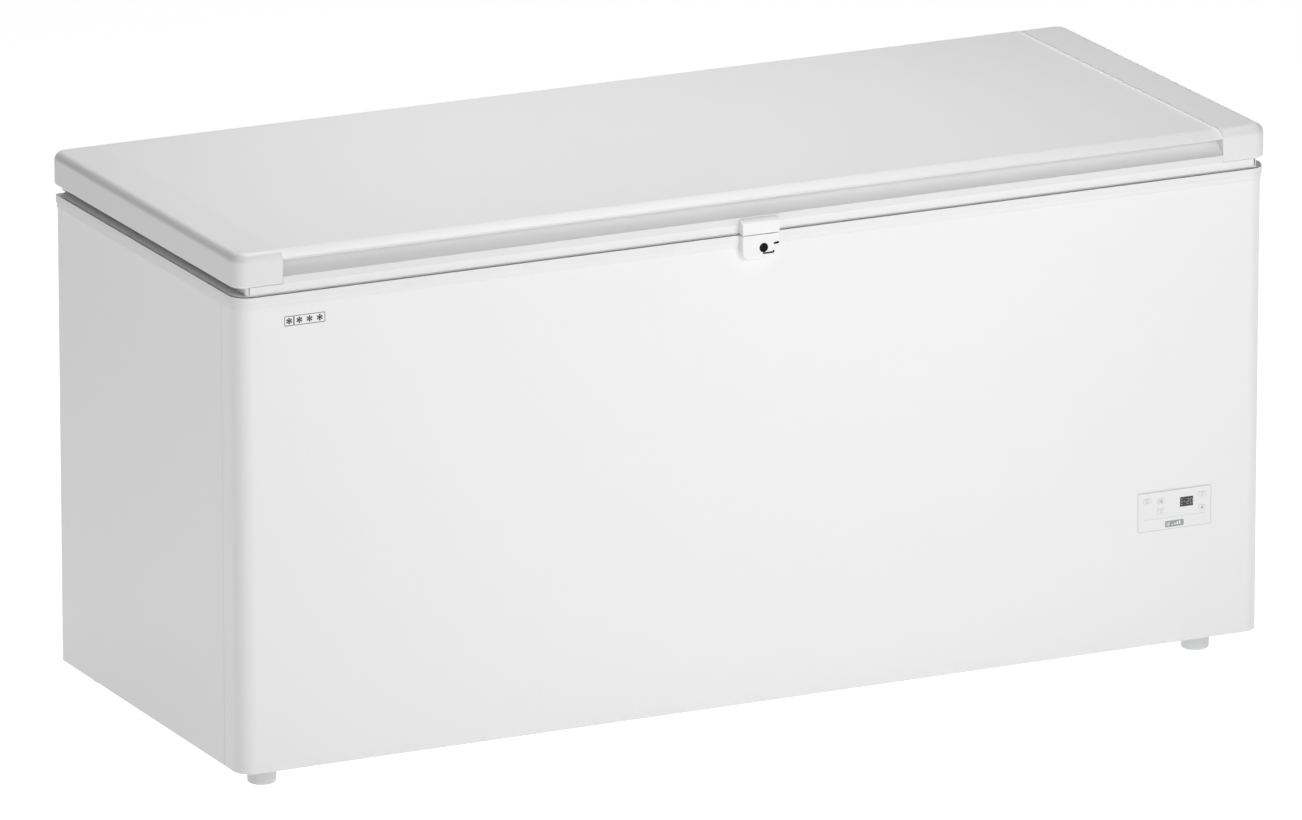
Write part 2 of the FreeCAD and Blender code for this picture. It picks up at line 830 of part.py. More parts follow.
def start_relay(machine):
    """Terminal cover with the start relay on the compressor's side."""
    cx, cy, z0 = compressor_place()
    low = z0 + grommet_height + relay_low
    face = cy - compressor_radius
    cover = plate(cx - relay_width / 2, cx + relay_width / 2, face - relay_out, face + relay_in,
                  low, low + relay_height, relay_corner_radius, 0)
    return cover.cut(machine)


def filter_place():
    """Start of the filter drier, beside the compressor near the front of the bay."""
    return x_bay + filter_from_bay, y_front + filter_from_front, z_base + filter_above_base


def filter_drier():
    """Copper drier with necked ends."""
    x, y, z = filter_place()
    r = filter_radius
    body = cylinder((x, y, z), (0, 1, 0), r, filter_length)
    neck_in = Part.makeCone(line_radius, r, filter_neck, V(x, y - filter_neck, z), V(0, 1, 0))
    neck_out = Part.makeCone(r, line_radius, filter_neck, V(x, y + filter_length, z), V(0, 1, 0))
    return body.fuse(neck_in).fuse(neck_out)


def refrigerant_lines(machine):
    """Discharge, liquid, capillary and suction lines in the machine bay."""
    cx, cy, z0 = compressor_place()
    evaporator = evaporator_route()
    condenser = condenser_route()
    cold_in, cold_out = evaporator[0][0], evaporator[-1][0]
    warm_in, warm_out = condenser[0][0], condenser[-1][0]
    fx, fy, fz = filter_place()
    z_port = z0 + grommet_height + port_height
    x_port = cx - port_side
    y_warm = warm_in[1]
    y_turn = y_warm + line_turn
    discharge = tube([
        (warm_in, 0), ((x_port, y_warm, warm_in[2]), line_tight_bend),
        ((x_port, y_turn, warm_in[2]), line_bend), ((x_port, y_turn, z_port + port_rise), line_bend),
        ((x_port, cy, z_port + port_rise), 0),
    ], line_radius)
    liquid = tube([
        (warm_out, 0), ((fx, y_warm, warm_out[2]), line_tight_bend),
        ((fx, y_turn, warm_out[2]), line_small_bend),
        ((fx, y_turn + line_turn, fz), line_small_bend), ((fx, fy - filter_neck, fz), 0),
    ], line_radius)
    capillary = tube([
        ((fx, fy + filter_length + filter_neck, fz), 0),
        ((fx, cold_in[1] - 1.5 * line_turn, fz), line_bend),
        ((fx, cold_in[1], cold_in[2]), line_bend), (cold_in, 0),
    ], line_radius)
    suction = tube([
        (cold_out, 0), ((cx, cold_out[1], cold_out[2]), line_bend),
        ((cx, cy, cold_out[2]), 0),
    ], evaporator_radius)
    return group([piece.cut(machine) for piece in (discharge, liquid, capillary, suction)])


# ---------------------------------------------------------------- base, feet and drain
def foot_places():
    """Front left, front right, rear left and rear right feet."""
    xs = (-x_shell + foot_from_left, x_shell - foot_from_right)
    ys = (y_front + foot_from_front, y_back - foot_from_front)
    return [(x, y) for y in ys for x in xs]


def stud_holes(extra):
    """Bores for the studs of the two front feet."""
    return [cylinder((x, y, 0), (0, 0, 1), stud_radius + extra,
                     z_under + stud_length + stud_headroom)
            for x, y in foot_places()[:2]]


def foot_body(x, y, top):
    """Tapered round pad with a rounded lower edge."""
    pad = Part.makeCone(foot_radius - foot_taper, foot_radius, top, V(x, y, 0), V(0, 0, 1))
    lower = [edge for edge in pad.Edges if abs(edge.BoundBox.ZMax) < 1e-3]
    return pad.makeFillet(foot_edge_radius, lower)


def levelling_foot(x, y):
    """Foot that turns on its own stud."""
    pad = foot_body(x, y, z_under - seat_gap)
    stud = cylinder((x, y, z_under - seat_gap - stud_socket), (0, 0, 1), stud_radius,
                    stud_length + stud_socket)
    return pad.fuse(stud)


def rear_feet():
    """Plain feet under the back edge."""
    return group([foot_body(x, y, z_under) for x, y in foot_places()[2:]])


def base_plate():
    """Steel plate that closes the foam underneath."""
    slab = shell_plate(sheet, z_under, z_under + sheet)
    slab = slab.common(box(-REACH, x_bay, -REACH, REACH, 0, REACH))
    slab = cut_all(slab, stud_holes(running))
    return slab.cut(drain_bore(drain_wall))


def machine_base():
    """Thicker plate under the compressor."""
    slab = shell_plate(sheet, z_under, z_under + machine_base_thickness)
    slab = slab.common(box(x_bay, REACH, -REACH, REACH, 0, REACH))
    return cut_all(slab, stud_holes(running))


def drain_place():
    """Middle of the floor drain."""
    return -x_shell + drain_from_left, (y_front + y_back) / 2


def drain_bore(extra):
    """Vertical hole of the drain through floor and base."""
    x, y = drain_place()
    return cylinder((x, y, 0), (0, 0, 1), drain_radius + extra, z_floor + 1)


def drain_pipe():
    """Pipe from the tank floor down through the base."""
    x, y = drain_place()
    low = z_base - drain_below_base
    outer = cylinder((x, y, low), (0, 0, 1), drain_radius + drain_wall, z_floor - sheet - low)
    return outer.cut(cylinder((x, y, 0), (0, 0, 1), drain_radius, REACH))


def drain_plug():
    """Rubber plug with a grip ring that pulls up out of the drain."""
    x, y = drain_place()
    seat = z_floor + seat_gap
    stem = cylinder((x, y, z_floor - plug_length), (0, 0, 1), drain_radius - running,
                    plug_length + seat_gap)
    rim = cylinder((x, y, seat), (0, 0, 1), drain_radius + plug_rim, plug_rim_thickness)
    grip = box(x - plug_grip_width / 2, x + plug_grip_width / 2,
               y - plug_grip_thickness / 2, y + plug_grip_thickness / 2,
               seat + plug_rim_thickness, seat + plug_rim_thickness + plug_grip_height)
    return stem.fuse(rim).fuse(grip)


# ---------------------------------------------------------------- controls
key_places = {
    "key_alarm": (-47.0, 17.0),
    "key_fast_freeze": (-23.0, 15.0),
    "key_set": (-23.0, -1.0),
    "key_power": (47.3, 18.0),
    "key_child_lock": (47.3, -3.0),
}


def key_outline(name, extra, y0, y1):
    """Block in the shape of one key."""
    dx, dz = key_places[name]
    x, z = panel_x + dx, panel_z + dz
    return box(x - key_width / 2 - extra, x + key_width / 2 + extra, y0, y1,
               z - key_height / 2 - extra, z + key_height / 2 + extra)


def display_outline(extra, y0, y1):
    """Block in the shape of the display."""
    x, z = panel_x + display_right, panel_z + display_up
    return box(x - display_width / 2 - extra, x + display_width / 2 + extra, y0, y1,
               z - display_height / 2 - extra, z + display_height / 2 + extra)


def control_fascia():
    """Thin front plate of the controls."""
    y0 = y_front - panel_proud
    slab = box(panel_x - panel_width / 2, panel_x + panel_width / 2, y0, y_front,
               panel_z - panel_height / 2, panel_z + panel_height / 2)
    edges = [e for e in slab.Edges if abs(e.BoundBox.YLength - panel_proud) < 1e-6]
    slab = slab.makeFillet(panel_corner_radius, edges)
    inner = box(panel_x - panel_width / 2 + panel_edge + seat_gap,
                panel_x + panel_width / 2 - panel_edge - seat_gap,
                y_front, y0 + fascia_thickness,
                panel_z - panel_height / 2 + panel_edge + seat_gap,
                panel_z + panel_height / 2 - panel_edge - seat_gap)
    slab = slab.fuse(inner)
    through = (y0 - sheet, y0 + fascia_thickness + sheet)
    for name in key_places:
        slab = slab.cut(key_outline(name, key_gap, *through))
    return refined(slab.cut(display_outline(0, *through)))


def control_housing():
    """Open box behind the fascia that holds the board."""
    y0 = y_front - panel_proud + fascia_thickness
    x0 = panel_x - panel_width / 2 + panel_edge + seat_gap
    x1 = panel_x + panel_width / 2 - panel_edge - seat_gap
    z0 = panel_z - panel_height / 2 + panel_edge + seat_gap
    z1 = panel_z + panel_height / 2 - panel_edge - seat_gap
    t = housing_wall
    outer = box(x0, x1, y0, y0 + control_depth, z0, z1)
    return outer.cut(box(x0 + t, x1 - t, y0 - t, y0 + control_depth - t, z0 + t, z1 - t))


def control_board():
    """Circuit board with a switch under every key."""
    y0 = y_front - panel_proud + fascia_thickness
    inset = panel_edge + seat_gap + housing_wall
    y_board = y0 + board_setback
    board = box(panel_x - panel_width / 2 + inset, panel_x + panel_width / 2 - inset,
                y_board, y_board + board_thickness,
                panel_z - panel_height / 2 + inset, panel_z + panel_height / 2 - inset)
    for dx, dz in key_places.values():
        x, z = panel_x + dx, panel_z + dz
        board = board.fuse(box(x - switch_size / 2, x + switch_size / 2,
                               y_board - switch_height, y_board,
                               z - switch_size / 2, z + switch_size / 2))
    return board


def display_window():
    """Dark window of the temperature display, reaching back to the board."""
    y0 = y_front - panel_proud
    return display_outline(0, y0, y0 + fascia_thickness + board_setback)


def key(name):
    """One push key standing a little proud of the fascia."""
    y0 = y_front - panel_proud - key_proud
    return key_outline(name, 0, y0, y0 + key_length)


# ---------------------------------------------------------------- lock
def lock_housing(collar):
    """Lock case on the front sheet under the collar's edge, open on top for the tongue."""
    x0, x1 = lock_offset - lock_width / 2, lock_offset + lock_width / 2
    z0 = z_rim - lock_height
    case = box(x0, x1, lock_y, y_front, z0, z_rim)
    lower = [e for e in case.Edges
             if abs(e.BoundBox.YLength - lock_projection) < 1e-6 and e.BoundBox.ZMax < z0 + 1]
    case = case.makeFillet(lock_corner_radius, lower)
    rim = [e for e in case.Edges if e.BoundBox.YMax < lock_y + 1e-3 and e.BoundBox.ZMin < z_rim - 1]
    case = case.makeFillet(lock_edge_radius, rim)
    reach = hook_outer + lock_gap
    y0, y1 = lock_y + lock_face, y_front - collar_overhang - lock_back
    well = box(cylinder_x - reach, cylinder_x + reach, y0, y1, cylinder_z - reach, cylinder_z + reach)
    half = tongue_width / 2 + lock_gap
    slot = box(cylinder_x - half, cylinder_x + half, y0, y1, cylinder_z, z_rim + 1)
    bore = cylinder((cylinder_x, lock_y - 1, cylinder_z), (0, 1, 0), cylinder_radius + running,
                    lock_face + 2)
    return refined(case.cut(well).cut(slot).cut(bore).cut(collar))


def turned(x, z, degrees):
    """A point beside the cylinder's axis, turned about it."""
    angle = math.radians(degrees)
    return (cylinder_x + x * math.cos(angle) - z * math.sin(angle),
            cylinder_z + x * math.sin(angle) + z * math.cos(angle))


def lock_cylinder():
    """Keyed barrel with a hook that closes over the tongue's bar when the key turns."""
    y_hook = lock_y + lock_face + lock_gap
    barrel = cylinder((cylinder_x, lock_y, cylinder_z), (0, 1, 0), cylinder_radius,
                      lock_face + lock_gap)
    keyway = box(cylinder_x - keyway_width / 2, cylinder_x + keyway_width / 2,
                 lock_y - sheet, lock_y + lock_face / 2,
                 cylinder_z - keyway_height / 2, cylinder_z + keyway_height / 2)
    hub = cylinder((cylinder_x, y_hook, cylinder_z), (0, 1, 0), hook_hub, hook_thickness)
    disc = cylinder((cylinder_x, y_hook, cylinder_z), (0, 1, 0), hook_outer, hook_thickness)
    finger = disc.cut(cylinder((cylinder_x, y_hook, cylinder_z), (0, 1, 0), hook_inner, hook_thickness))
    finger = finger.common(sector(hook_start, hook_end, y_hook))
    web = disc.common(sector(hook_start, hook_start + hook_web, y_hook))
    return refined(barrel.cut(keyway).fuse(hub).fuse(finger).fuse(web))


def sector(start, end, y0):
    """Wedge about the cylinder's axis between two angles from +X towards +Z."""
    far = 3 * hook_outer
    middle = (start + end) / 2
    corners = [(cylinder_x, cylinder_z)] + [turned(far, 0, angle) for angle in (start, middle, end)]
    return prism([(x, y0, z) for x, z in corners], (0, hook_thickness, 0))


# ---------------------------------------------------------------- hinges
def knuckle(x0, x1, bore):
    """One hinge knuckle on the hinge axis."""
    outer = cylinder((x0, hinge_y, hinge_z), (1, 0, 0), knuckle_radius, x1 - x0)
    return outer.cut(cylinder((x0 - 1, hinge_y, hinge_z), (1, 0, 0), bore, x1 - x0 + 2))


def hinge_base(x):
    """Bracket screwed on the back sheet with two knuckles."""
    half = hinge_width / 2
    y1 = y_back + hinge_plate_thickness
    low = hinge_z - knuckle_radius - collar_band - collar_lip
    base = box(x - half, x + half, y_back, y1, low - hinge_plate_height, low)
    for x0, x1 in ((x - half, x - half / 2), (x + half / 2, x + half)):
        arm = prism([
            (x0, y_back, low - hinge_arm_high), (x0, y1, low - hinge_arm_low),
            (x0, hinge_y + hinge_arm_bulge, low - hinge_arm_shoulder),
            (x0, hinge_y + knuckle_radius, hinge_z), (x0, hinge_y - knuckle_radius, hinge_z),
            (x0, y_back + collar_overhang + 2 * seat_gap, low), (x0, y_back, low),
        ], (x1 - x0, 0, 0))
        base = base.fuse(arm).fuse(knuckle(x0, x1, pin_radius))
        base = base.cut(cylinder((x0 - 1, hinge_y, hinge_z), (1, 0, 0), pin_radius, x1 - x0 + 2))
    for drop in hinge_screw_drops:
        hole = cylinder((x, y_back - sheet, low - drop), (0, 1, 0), hinge_screw_radius,
                        2 * hinge_plate_thickness)
        base = base.cut(hole)
    return base


def hinge_pin(x):
    """Pin through all three knuckles and both springs."""
    half = hinge_width / 2 + spring_length
    return cylinder((x - half, hinge_y, hinge_z), (1, 0, 0), pin_radius, 2 * half)


def hinge_spring(x, side):
    """Torsion coil on the pin's end that carries part of the lid's weight."""
    coil_radius = pin_radius + spring_clearance + spring_wire
    start = x + side * (hinge_width / 2 + spring_wire + seat_gap)
    length = spring_length - 3 * spring_wire
    helix = Part.makeHelix(length / spring_turns, length, coil_radius)
    ring = Part.Wire([Part.makeCircle(spring_wire, V(coil_radius, 0, 0), V(0, 1, 0))])
    coil = Part.Wire(helix.Edges).makePipeShell([ring], True, True)
    coil.rotate(V(0, 0, 0), V(0, 1, 0), 90 * side)
    coil.translate(V(start, hinge_y, hinge_z))
    return coil


def lid_hinge_leaf(x):
    """Lid half of a hinge: a plate under the lid's rear edge with the middle knuckle."""
    half = hinge_width / 4 - knuckle_gap
    z0 = z_lid - leaf_thickness
    leaf = box(x - half, x + half, hinge_y - leaf_front, y_lid_back - leaf_rear, z0, z_lid)
    neck = box(x - half, x + half, hinge_y - neck_half, hinge_y + neck_half,
               hinge_z + pin_radius + neck_clearance, z0)
    return leaf.fuse(neck).fuse(knuckle(x - half, x + half, pin_radius + knuckle_clearance))


# ---------------------------------------------------------------- lid
def cap_form(inset):
    """End cap's outer form, or its cavity when drawn in by an inset."""
    x0 = x_seam + inset
    x1 = x_shell + cap_overhang - inset
    form = plate(x0, x1, y_front + inset, y_lid_back - inset, z_skirt + inset, z_cap_top - inset)
    outer = [e for e in form.Edges
             if e.BoundBox.ZLength > lid_height / 2 and e.BoundBox.XMin > x1 - 1]
    form = form.makeFillet(cap_corner_radius - inset, outer)
    top = [e for e in form.Edges
           if e.BoundBox.ZMin > z_cap_top - inset - 1e-3 and e.BoundBox.XMax > x0 + 1]
    form = form.makeFillet(cap_edge_radius - inset, top)
    if inset == 0:
        low = [e for e in form.Edges
               if e.BoundBox.ZMax < z_skirt + 1e-3 and e.BoundBox.XMax > x_seam + 1]
        form = form.makeChamfer(cap_chamfer, low)
    return form


def cap_window():
    """Way through the cap's inner web that the lid foam fills."""
    return box(x_seam - sheet, x_seam + cap_wall + sheet,
               y_front + lip_set_back + window_front, y_lid_back - window_rear,
               z_skirt + window_margin, z_lid_top - sheet - window_margin)


def end_cap():
    """Right end cap of the lid; the left one is its mirror image."""
    return cap_form(0).cut(cap_form(cap_wall)).cut(cap_window())


def scoop(wall_thickness):
    """Curved back of the grip from its front edge up, as (y, z); thickness moves it inwards."""
    depth = grip_depth + wall_thickness
    top = z_skirt + band_height + grip_height - grip_ceiling
    height = grip_height - grip_ceiling + wall_thickness
    points = []
    for index in range(grip_steps, -1, -1):
        angle = math.pi / 2 * index / grip_steps
        y = y_front + depth * math.cos(angle) ** grip_flatness
        points.append((y, top - height * math.sin(angle) ** grip_flatness))
    return points


def profile_face():
    """Visible side of the grip profile, from its foot round the grip to the top sheet."""
    y = y_front
    z_grip = z_skirt + band_height + grip_height
    back = y + grip_depth
    lip = [
        (back - grip_shoulder, z_grip - grip_ceiling / 2), (y + lip_tuck, z_grip - lip_tuck),
        (y, z_grip), (y + lip_nose_back, z_grip + lip_nose_height),
        (y + lip_crown_back, z_lid_top - lip_crown_below), (y + lip_set_back, z_lid_top),
    ]
    return [(y, z_skirt)] + scoop(0.0) + lip


def profile_back():
    """Hidden side of the grip profile, from the top sheet back down to the foot."""
    y = y_front
    t = profile_wall
    z_grip = z_skirt + band_height + grip_height
    back = y + grip_depth
    land = y + lip_set_back + lip_land
    upper = [
        (land, z_lid_top), (land, z_lid_top - t), (y + lip_set_back, z_lid_top - t),
        (y + lip_crown_back, z_lid_top - lip_crown_below - t), (back - t, z_grip),
        (back + t, z_grip - t),
    ]
    lower = [(y + t, z_skirt + t), (back, z_skirt + t), (back, z_skirt)]
    return upper + scoop(t)[:0:-1] + lower


def lid_front_profile():
    """Extruded grip profile between the end caps."""
    points = [(-x_seam, py, pz) for py, pz in profile_face() + profile_back()]
    return prism(points, (2 * x_seam, 0, 0)).cut(top_sheet_seat())


def top_sheet_seat():
    """Strip that the top sheet takes out of the front profile."""
    return box(-x_seam, x_seam, y_front + lip_set_back, y_lid_back, z_lid_top - sheet, z_lid_top)


def lid_top_panel():
    """Top sheet with its rear edge folded down."""
    top = top_sheet_seat()
    rear = box(-x_seam, x_seam, y_lid_back - sheet, y_lid_back, z_skirt, z_lid_top)
    panel = refined(top.fuse(rear))
    corner = [e for e in panel.Edges
              if e.BoundBox.YMin > y_lid_back - 1e-3 and e.BoundBox.ZMin > z_lid_top - 1e-3
              and e.BoundBox.XLength > x_seam]
    return panel.makeFillet(rear_edge_radius, corner)


def tray_plate(inset, z0, z1):
    """Plan of the lid's inner tray."""
    x = x_shell - skirt_side_inset - inset
    radius = max(tray_corner_radius - inset, 0.0)
    return plate(-x, x, y_front + skirt_front_inset + inset, y_lid_back - sheet - inset,
                 z0, z1, radius, radius)


def skirt_slit(side):
    """Relief slit that runs slantwise through one front corner of the skirt."""
    x = side * (x_shell - skirt_side_inset)
    y = y_front + skirt_front_inset
    into = V(side * slit_from_corner, slit_length, 0).normalize()
    across = V(into.y, -into.x, 0) * (slit_width / 2)
    start = V(x - side * slit_from_corner, y, z_lid + tray_wall) - into * slit_from_corner
    end = V(x, y + slit_length, z_lid + tray_wall) + into * slit_from_corner
    corners = [start - across, start + across, end + across, end - across]
    return prism([tuple(corner) for corner in corners], (0, 0, skirt_height - tray_wall))


def lid_inner_tray():
    """Moulded tray under the lid: skirt all round and a shallow raised field."""
    tray = tray_plate(0, z_lid, z_skirt).cut(tray_plate(tray_wall, z_lid + tray_wall, z_skirt))
    inner = wall + tray_field_margin
    outer = inner - tray_wall
    field = box(-x_shell + inner, x_shell - inner, y_front + inner, y_back - inner,
                z_lid - sheet, z_lid + tray_field_rise)
    raised = box(-x_shell + outer, x_shell - outer, y_front + outer, y_back - outer,
                 z_lid + tray_wall, z_lid + tray_field_rise + tray_wall)
    tray = refined(tray.fuse(raised).cut(field))
    return tray.cut(skirt_slit(-1)).cut(skirt_slit(1))


def lid_insulation(tray, profile, sheet_top, caps):
    """Foam core that fills tray, caps and grip profile."""
    low = tray_plate(tray_wall, z_lid + tray_wall, z_skirt)
    high = box(-x_seam, x_seam, y_front + grip_depth + profile_wall, y_lid_back - sheet,
               z_skirt, z_lid_top - sheet)
    window = cap_window().common(box(x_seam, REACH, -REACH, REACH, 0, REACH))
    ends = cap_form(cap_wall).fuse(window)
    core = low.fuse(high)
    core = core.fuse(ends).fuse(ends.mirror(V(0, 0, 0), V(1, 0, 0)))
    for piece in [tray, profile, sheet_top, skirt_slit(-1), skirt_slit(1)] + caps:
        core = core.cut(piece)
    largest = max(core.Solids, key=lambda s: s.Volume)
    return refined(largest)


def lid_gasket():
    """Soft seal under the tray that lies on the collar."""
    outer = shell_plate(gasket_inset, z_rim, z_lid)
    return outer.cut(shell_plate(gasket_inset + gasket_width, z_rim, z_lid))


def lid_catch():
    """Catch block on the lid's front edge with the tongue that drops into the lock."""
    x0, x1 = lock_offset - lock_width / 2, lock_offset + lock_width / 2
    z0 = z_lid
    y_back_face = y_front + skirt_front_inset
    block = prism([
        (x0, lock_y, z0), (x0, lock_y, z0 + catch_height),
        (x0, y_front, z0 + catch_height + catch_slope), (x0, y_front, z_skirt),
        (x0, y_back_face, z_skirt), (x0, y_back_face, z0),
    ], (x1 - x0, 0, 0))
    y_hook = lock_y + lock_face + lock_gap
    y_tongue = y_hook + hook_thickness + 2 * lock_gap
    tongue = box(cylinder_x - tongue_width / 2, cylinder_x + tongue_width / 2,
                 y_tongue, y_tongue + tongue_thickness,
                 cylinder_z + bar_height - 2 * bar_radius, z0)
    bar = cylinder((cylinder_x, y_hook, cylinder_z + bar_height), (0, 1, 0), bar_radius,
                   y_tongue - y_hook)
    return refined(block.fuse(tongue).fuse(bar))


# ---------------------------------------------------------------- baskets
def basket(side):
    """Hanging basket; its hooked rims run on the collar's front and rear ledges."""
    x_outer = side * (x_tank - collar_wall - basket_end_gap)
    x0, x1 = sorted((x_outer, x_outer - side * basket_width))
    mouth_front = y_tank_front + collar_wall
    mouth_back = y_tank_back - collar_wall
    gap = basket_side_gap
    top = z_ledge + ledge_clearance + hook_height
    bottom = top - basket_height

    y0, y1 = mouth_front + gap, mouth_back - gap

    def tub(inset, z0):
        wires = []
        for margin, z in ((inset + basket_taper, z0), (inset, top)):
            a, b, c, d = x0 + margin, x1 - margin, y0 + margin, y1 - margin
            corners = [V(a, c, z), V(b, c, z), V(b, d, z), V(a, d, z), V(a, c, z)]
            wires.append(Part.makePolygon(corners))
        return Part.makeLoft(wires, True, True)

    def wall(plan):
        outline = [V(x, y, bottom + basket_wall) for x, y in plan]
        prism = Part.Face(Part.makePolygon(outline + outline[:1])).extrude(V(0, 0, basket_height))
        return body.common(prism).cut(rim_front).cut(rim_back)

    body = tub(0, bottom).cut(tub(basket_wall, bottom + basket_wall))
    rim_front = box(x0, x1, mouth_front - hook_reach, y0 + basket_wall, top - hook_height, top)
    rim_back = box(x0, x1, y1 - basket_wall, mouth_back + hook_reach, top - hook_height, top)
    floor = body.common(box(x0, x1, y0, y1, bottom, bottom + basket_wall))
    # Each wall ends on the 45 degree lines that run in from the tub's corners.
    half = basket_width / 2
    fore, aft = (x0 + half, y0 + half), (x0 + half, y1 - half)
    front_wall = wall([(x0, y0), (x1, y0), fore])
    rear_wall = wall([(x1, y1), (x0, y1), aft])
    left_wall = wall([(x0, y0), fore, aft, (x0, y1)])
    right_wall = wall([(x1, y0), (x1, y1), aft, fore])
    return group([floor, front_wall, rear_wall, left_wall, right_wall, rim_front, rim_back])


# ---------------------------------------------------------------- build
nodes = []
os.makedirs("parts", exist_ok=True)

ring = shell_ring()
write("front_panel", front_panel(ring))
write("left_side_panel", side_panel(ring, -1))
write("right_side_panel", side_panel(ring, 1))
write("rear_panel", rear_panel(ring))
write("side_vent_grille", side_vent_grille())
write("rear_cover", rear_cover())
write("rear_cover_screws", rear_cover_screws())
write("power_inlet", power_inlet())
write("base_plate", base_plate())
write("machine_base", machine_base())

collar = collar_ring()
collar_rails = {side: collar_rail(collar, side) for side in ("front", "rear", "left", "right")}
for side, rail in collar_rails.items():
    write("collar_" + side, rail)

write("liner_wall", liner_wall())
write("liner_floor", liner_floor())

evaporator = tube(evaporator_route(), evaporator_radius)
condenser = tube(condenser_route(), condenser_radius)
write("evaporator_coil", evaporator)
write("condenser_coil", condenser)
front_foam, rear_foam = foam_front_rear()
left_foam, right_foam = foam_sides()
foam_pieces = {
    "insulation_front": front_foam,
    "insulation_rear": rear_foam,
    "insulation_left": left_foam,
    "insulation_right": right_foam,
    "insulation_floor": foam_floor(),
    "insulation_step": foam_step(),
}
foam_tools = [collar_seat(), evaporator, condenser, drain_bore(drain_wall)] + stud_holes(stud_sleeve)
for name, piece in foam_pieces.items():
    write(name, cut_all(piece, foam_tools))

machine = compressor()
write("compressor", machine)
write("compressor_grommets", compressor_grommets())
write("compressor_bolts", compressor_bolts())
write("start_relay", start_relay(machine))
write("filter_drier", filter_drier())
write("refrigerant_lines", refrigerant_lines(machine))

places = foot_places()
write("foot_front_left", levelling_foot(*places[0]))
write("foot_front_right", levelling_foot(*places[1]))
write("rear_feet", rear_feet())
write("drain_pipe", drain_pipe())
write("drain_plug", drain_plug())

write("control_fascia", control_fascia())
write("control_housing", control_housing())
write("control_board", control_board())
write("display_window", display_window())
for name in key_places:
    write(name, key(name))

write("lock_housing", lock_housing(collar_rails["front"]))
write("lock_cylinder", lock_cylinder())

hinge_places = (-hinge_x, hinge_x)
write("hinge_bases", group([hinge_base(x) for x in hinge_places]))
write("hinge_pins", group([hinge_pin(x) for x in hinge_places]))
write("hinge_springs", group([hinge_spring(x, side) for x in hinge_places for side in (-1, 1)]))
write("lid_hinge_leaves", group([lid_hinge_leaf(x) for x in hinge_places]))

cap = end_cap()
caps = [cap.mirror(V(0, 0, 0), V(1, 0, 0)), cap]
write("lid_left_cap", caps[0])
write("lid_right_cap", caps[1])
profile = lid_front_profile()
top_sheet = lid_top_panel()
tray = lid_inner_tray()
write("lid_front_profile", profile)
write("lid_top_panel", top_sheet)
write("lid_inner_tray", tray)
write("lid_insulation", lid_insulation(tray, profile, top_sheet, caps))
write("lid_gasket", lid_gasket())
write("lid_catch", lid_catch())

write("basket_left", basket(-1))
write("basket_right", basket(1))
print(len(nodes), "nodes written")
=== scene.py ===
"""Looks of a commercial chest freezer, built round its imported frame.

Metres, in the frame's own axes: +X to the right along the width, -Y to the front, +Z up.
"""

from __future__ import annotations

import json
import logging
import math
from abc import ABC, abstractmethod
from dataclasses import dataclass, field
from enum import Enum
from typing import Any, Iterable, Sequence

import bmesh
import bpy
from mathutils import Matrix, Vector
from mathutils.bvhtree import BVHTree

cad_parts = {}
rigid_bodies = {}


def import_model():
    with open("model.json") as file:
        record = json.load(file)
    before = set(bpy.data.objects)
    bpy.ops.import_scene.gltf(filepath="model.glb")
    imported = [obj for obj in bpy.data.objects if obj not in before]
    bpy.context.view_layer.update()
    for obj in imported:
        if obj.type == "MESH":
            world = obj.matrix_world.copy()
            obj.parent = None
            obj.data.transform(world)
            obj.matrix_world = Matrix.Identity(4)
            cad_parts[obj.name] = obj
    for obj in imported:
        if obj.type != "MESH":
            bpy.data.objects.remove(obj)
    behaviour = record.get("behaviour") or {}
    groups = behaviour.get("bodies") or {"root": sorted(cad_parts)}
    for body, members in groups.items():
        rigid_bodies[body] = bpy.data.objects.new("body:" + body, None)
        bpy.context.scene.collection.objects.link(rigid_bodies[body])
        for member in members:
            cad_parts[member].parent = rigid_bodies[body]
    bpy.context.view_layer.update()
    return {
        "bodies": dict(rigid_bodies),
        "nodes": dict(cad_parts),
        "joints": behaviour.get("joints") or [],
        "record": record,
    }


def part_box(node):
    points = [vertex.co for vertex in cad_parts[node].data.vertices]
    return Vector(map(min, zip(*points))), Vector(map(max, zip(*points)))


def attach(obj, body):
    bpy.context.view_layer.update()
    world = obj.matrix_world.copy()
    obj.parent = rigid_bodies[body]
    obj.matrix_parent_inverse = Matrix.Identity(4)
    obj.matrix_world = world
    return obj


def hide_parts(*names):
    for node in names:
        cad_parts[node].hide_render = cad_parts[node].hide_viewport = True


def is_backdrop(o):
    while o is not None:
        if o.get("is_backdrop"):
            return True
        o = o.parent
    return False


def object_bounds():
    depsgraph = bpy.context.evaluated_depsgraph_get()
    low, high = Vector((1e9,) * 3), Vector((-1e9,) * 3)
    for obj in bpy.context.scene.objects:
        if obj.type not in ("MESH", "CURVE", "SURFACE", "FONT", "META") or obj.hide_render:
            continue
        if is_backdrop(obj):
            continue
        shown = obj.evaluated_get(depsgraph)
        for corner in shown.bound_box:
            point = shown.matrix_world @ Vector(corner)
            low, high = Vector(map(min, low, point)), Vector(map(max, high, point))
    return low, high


LOG = logging.getLogger("freezer")
MM = 0.001
FOLD_ANGLE = 32.0               # degrees; edges that turn more are rounded
SHARP_ANGLE = 50.0              # degrees; edges that turn more keep a crease
MEETING_GAP = 2e-6              # metres between faces that touch
FACING = -0.99                  # cosine between faces that look at each other
WELD_GAP = 1e-6                 # metres between corners that are one
NORMAL_WEIGHT = 80              # how far large faces set the shading
PRINT_THICKNESS = 0.06 * MM
THIN_PRINT = 0.04 * MM
CORNER_SIGNS = ((1, 1), (-1, 1), (-1, -1), (1, -1))
FACE_REAR = (-math.pi / 2, 0.0, 0.0)  # turns +Z to the rear
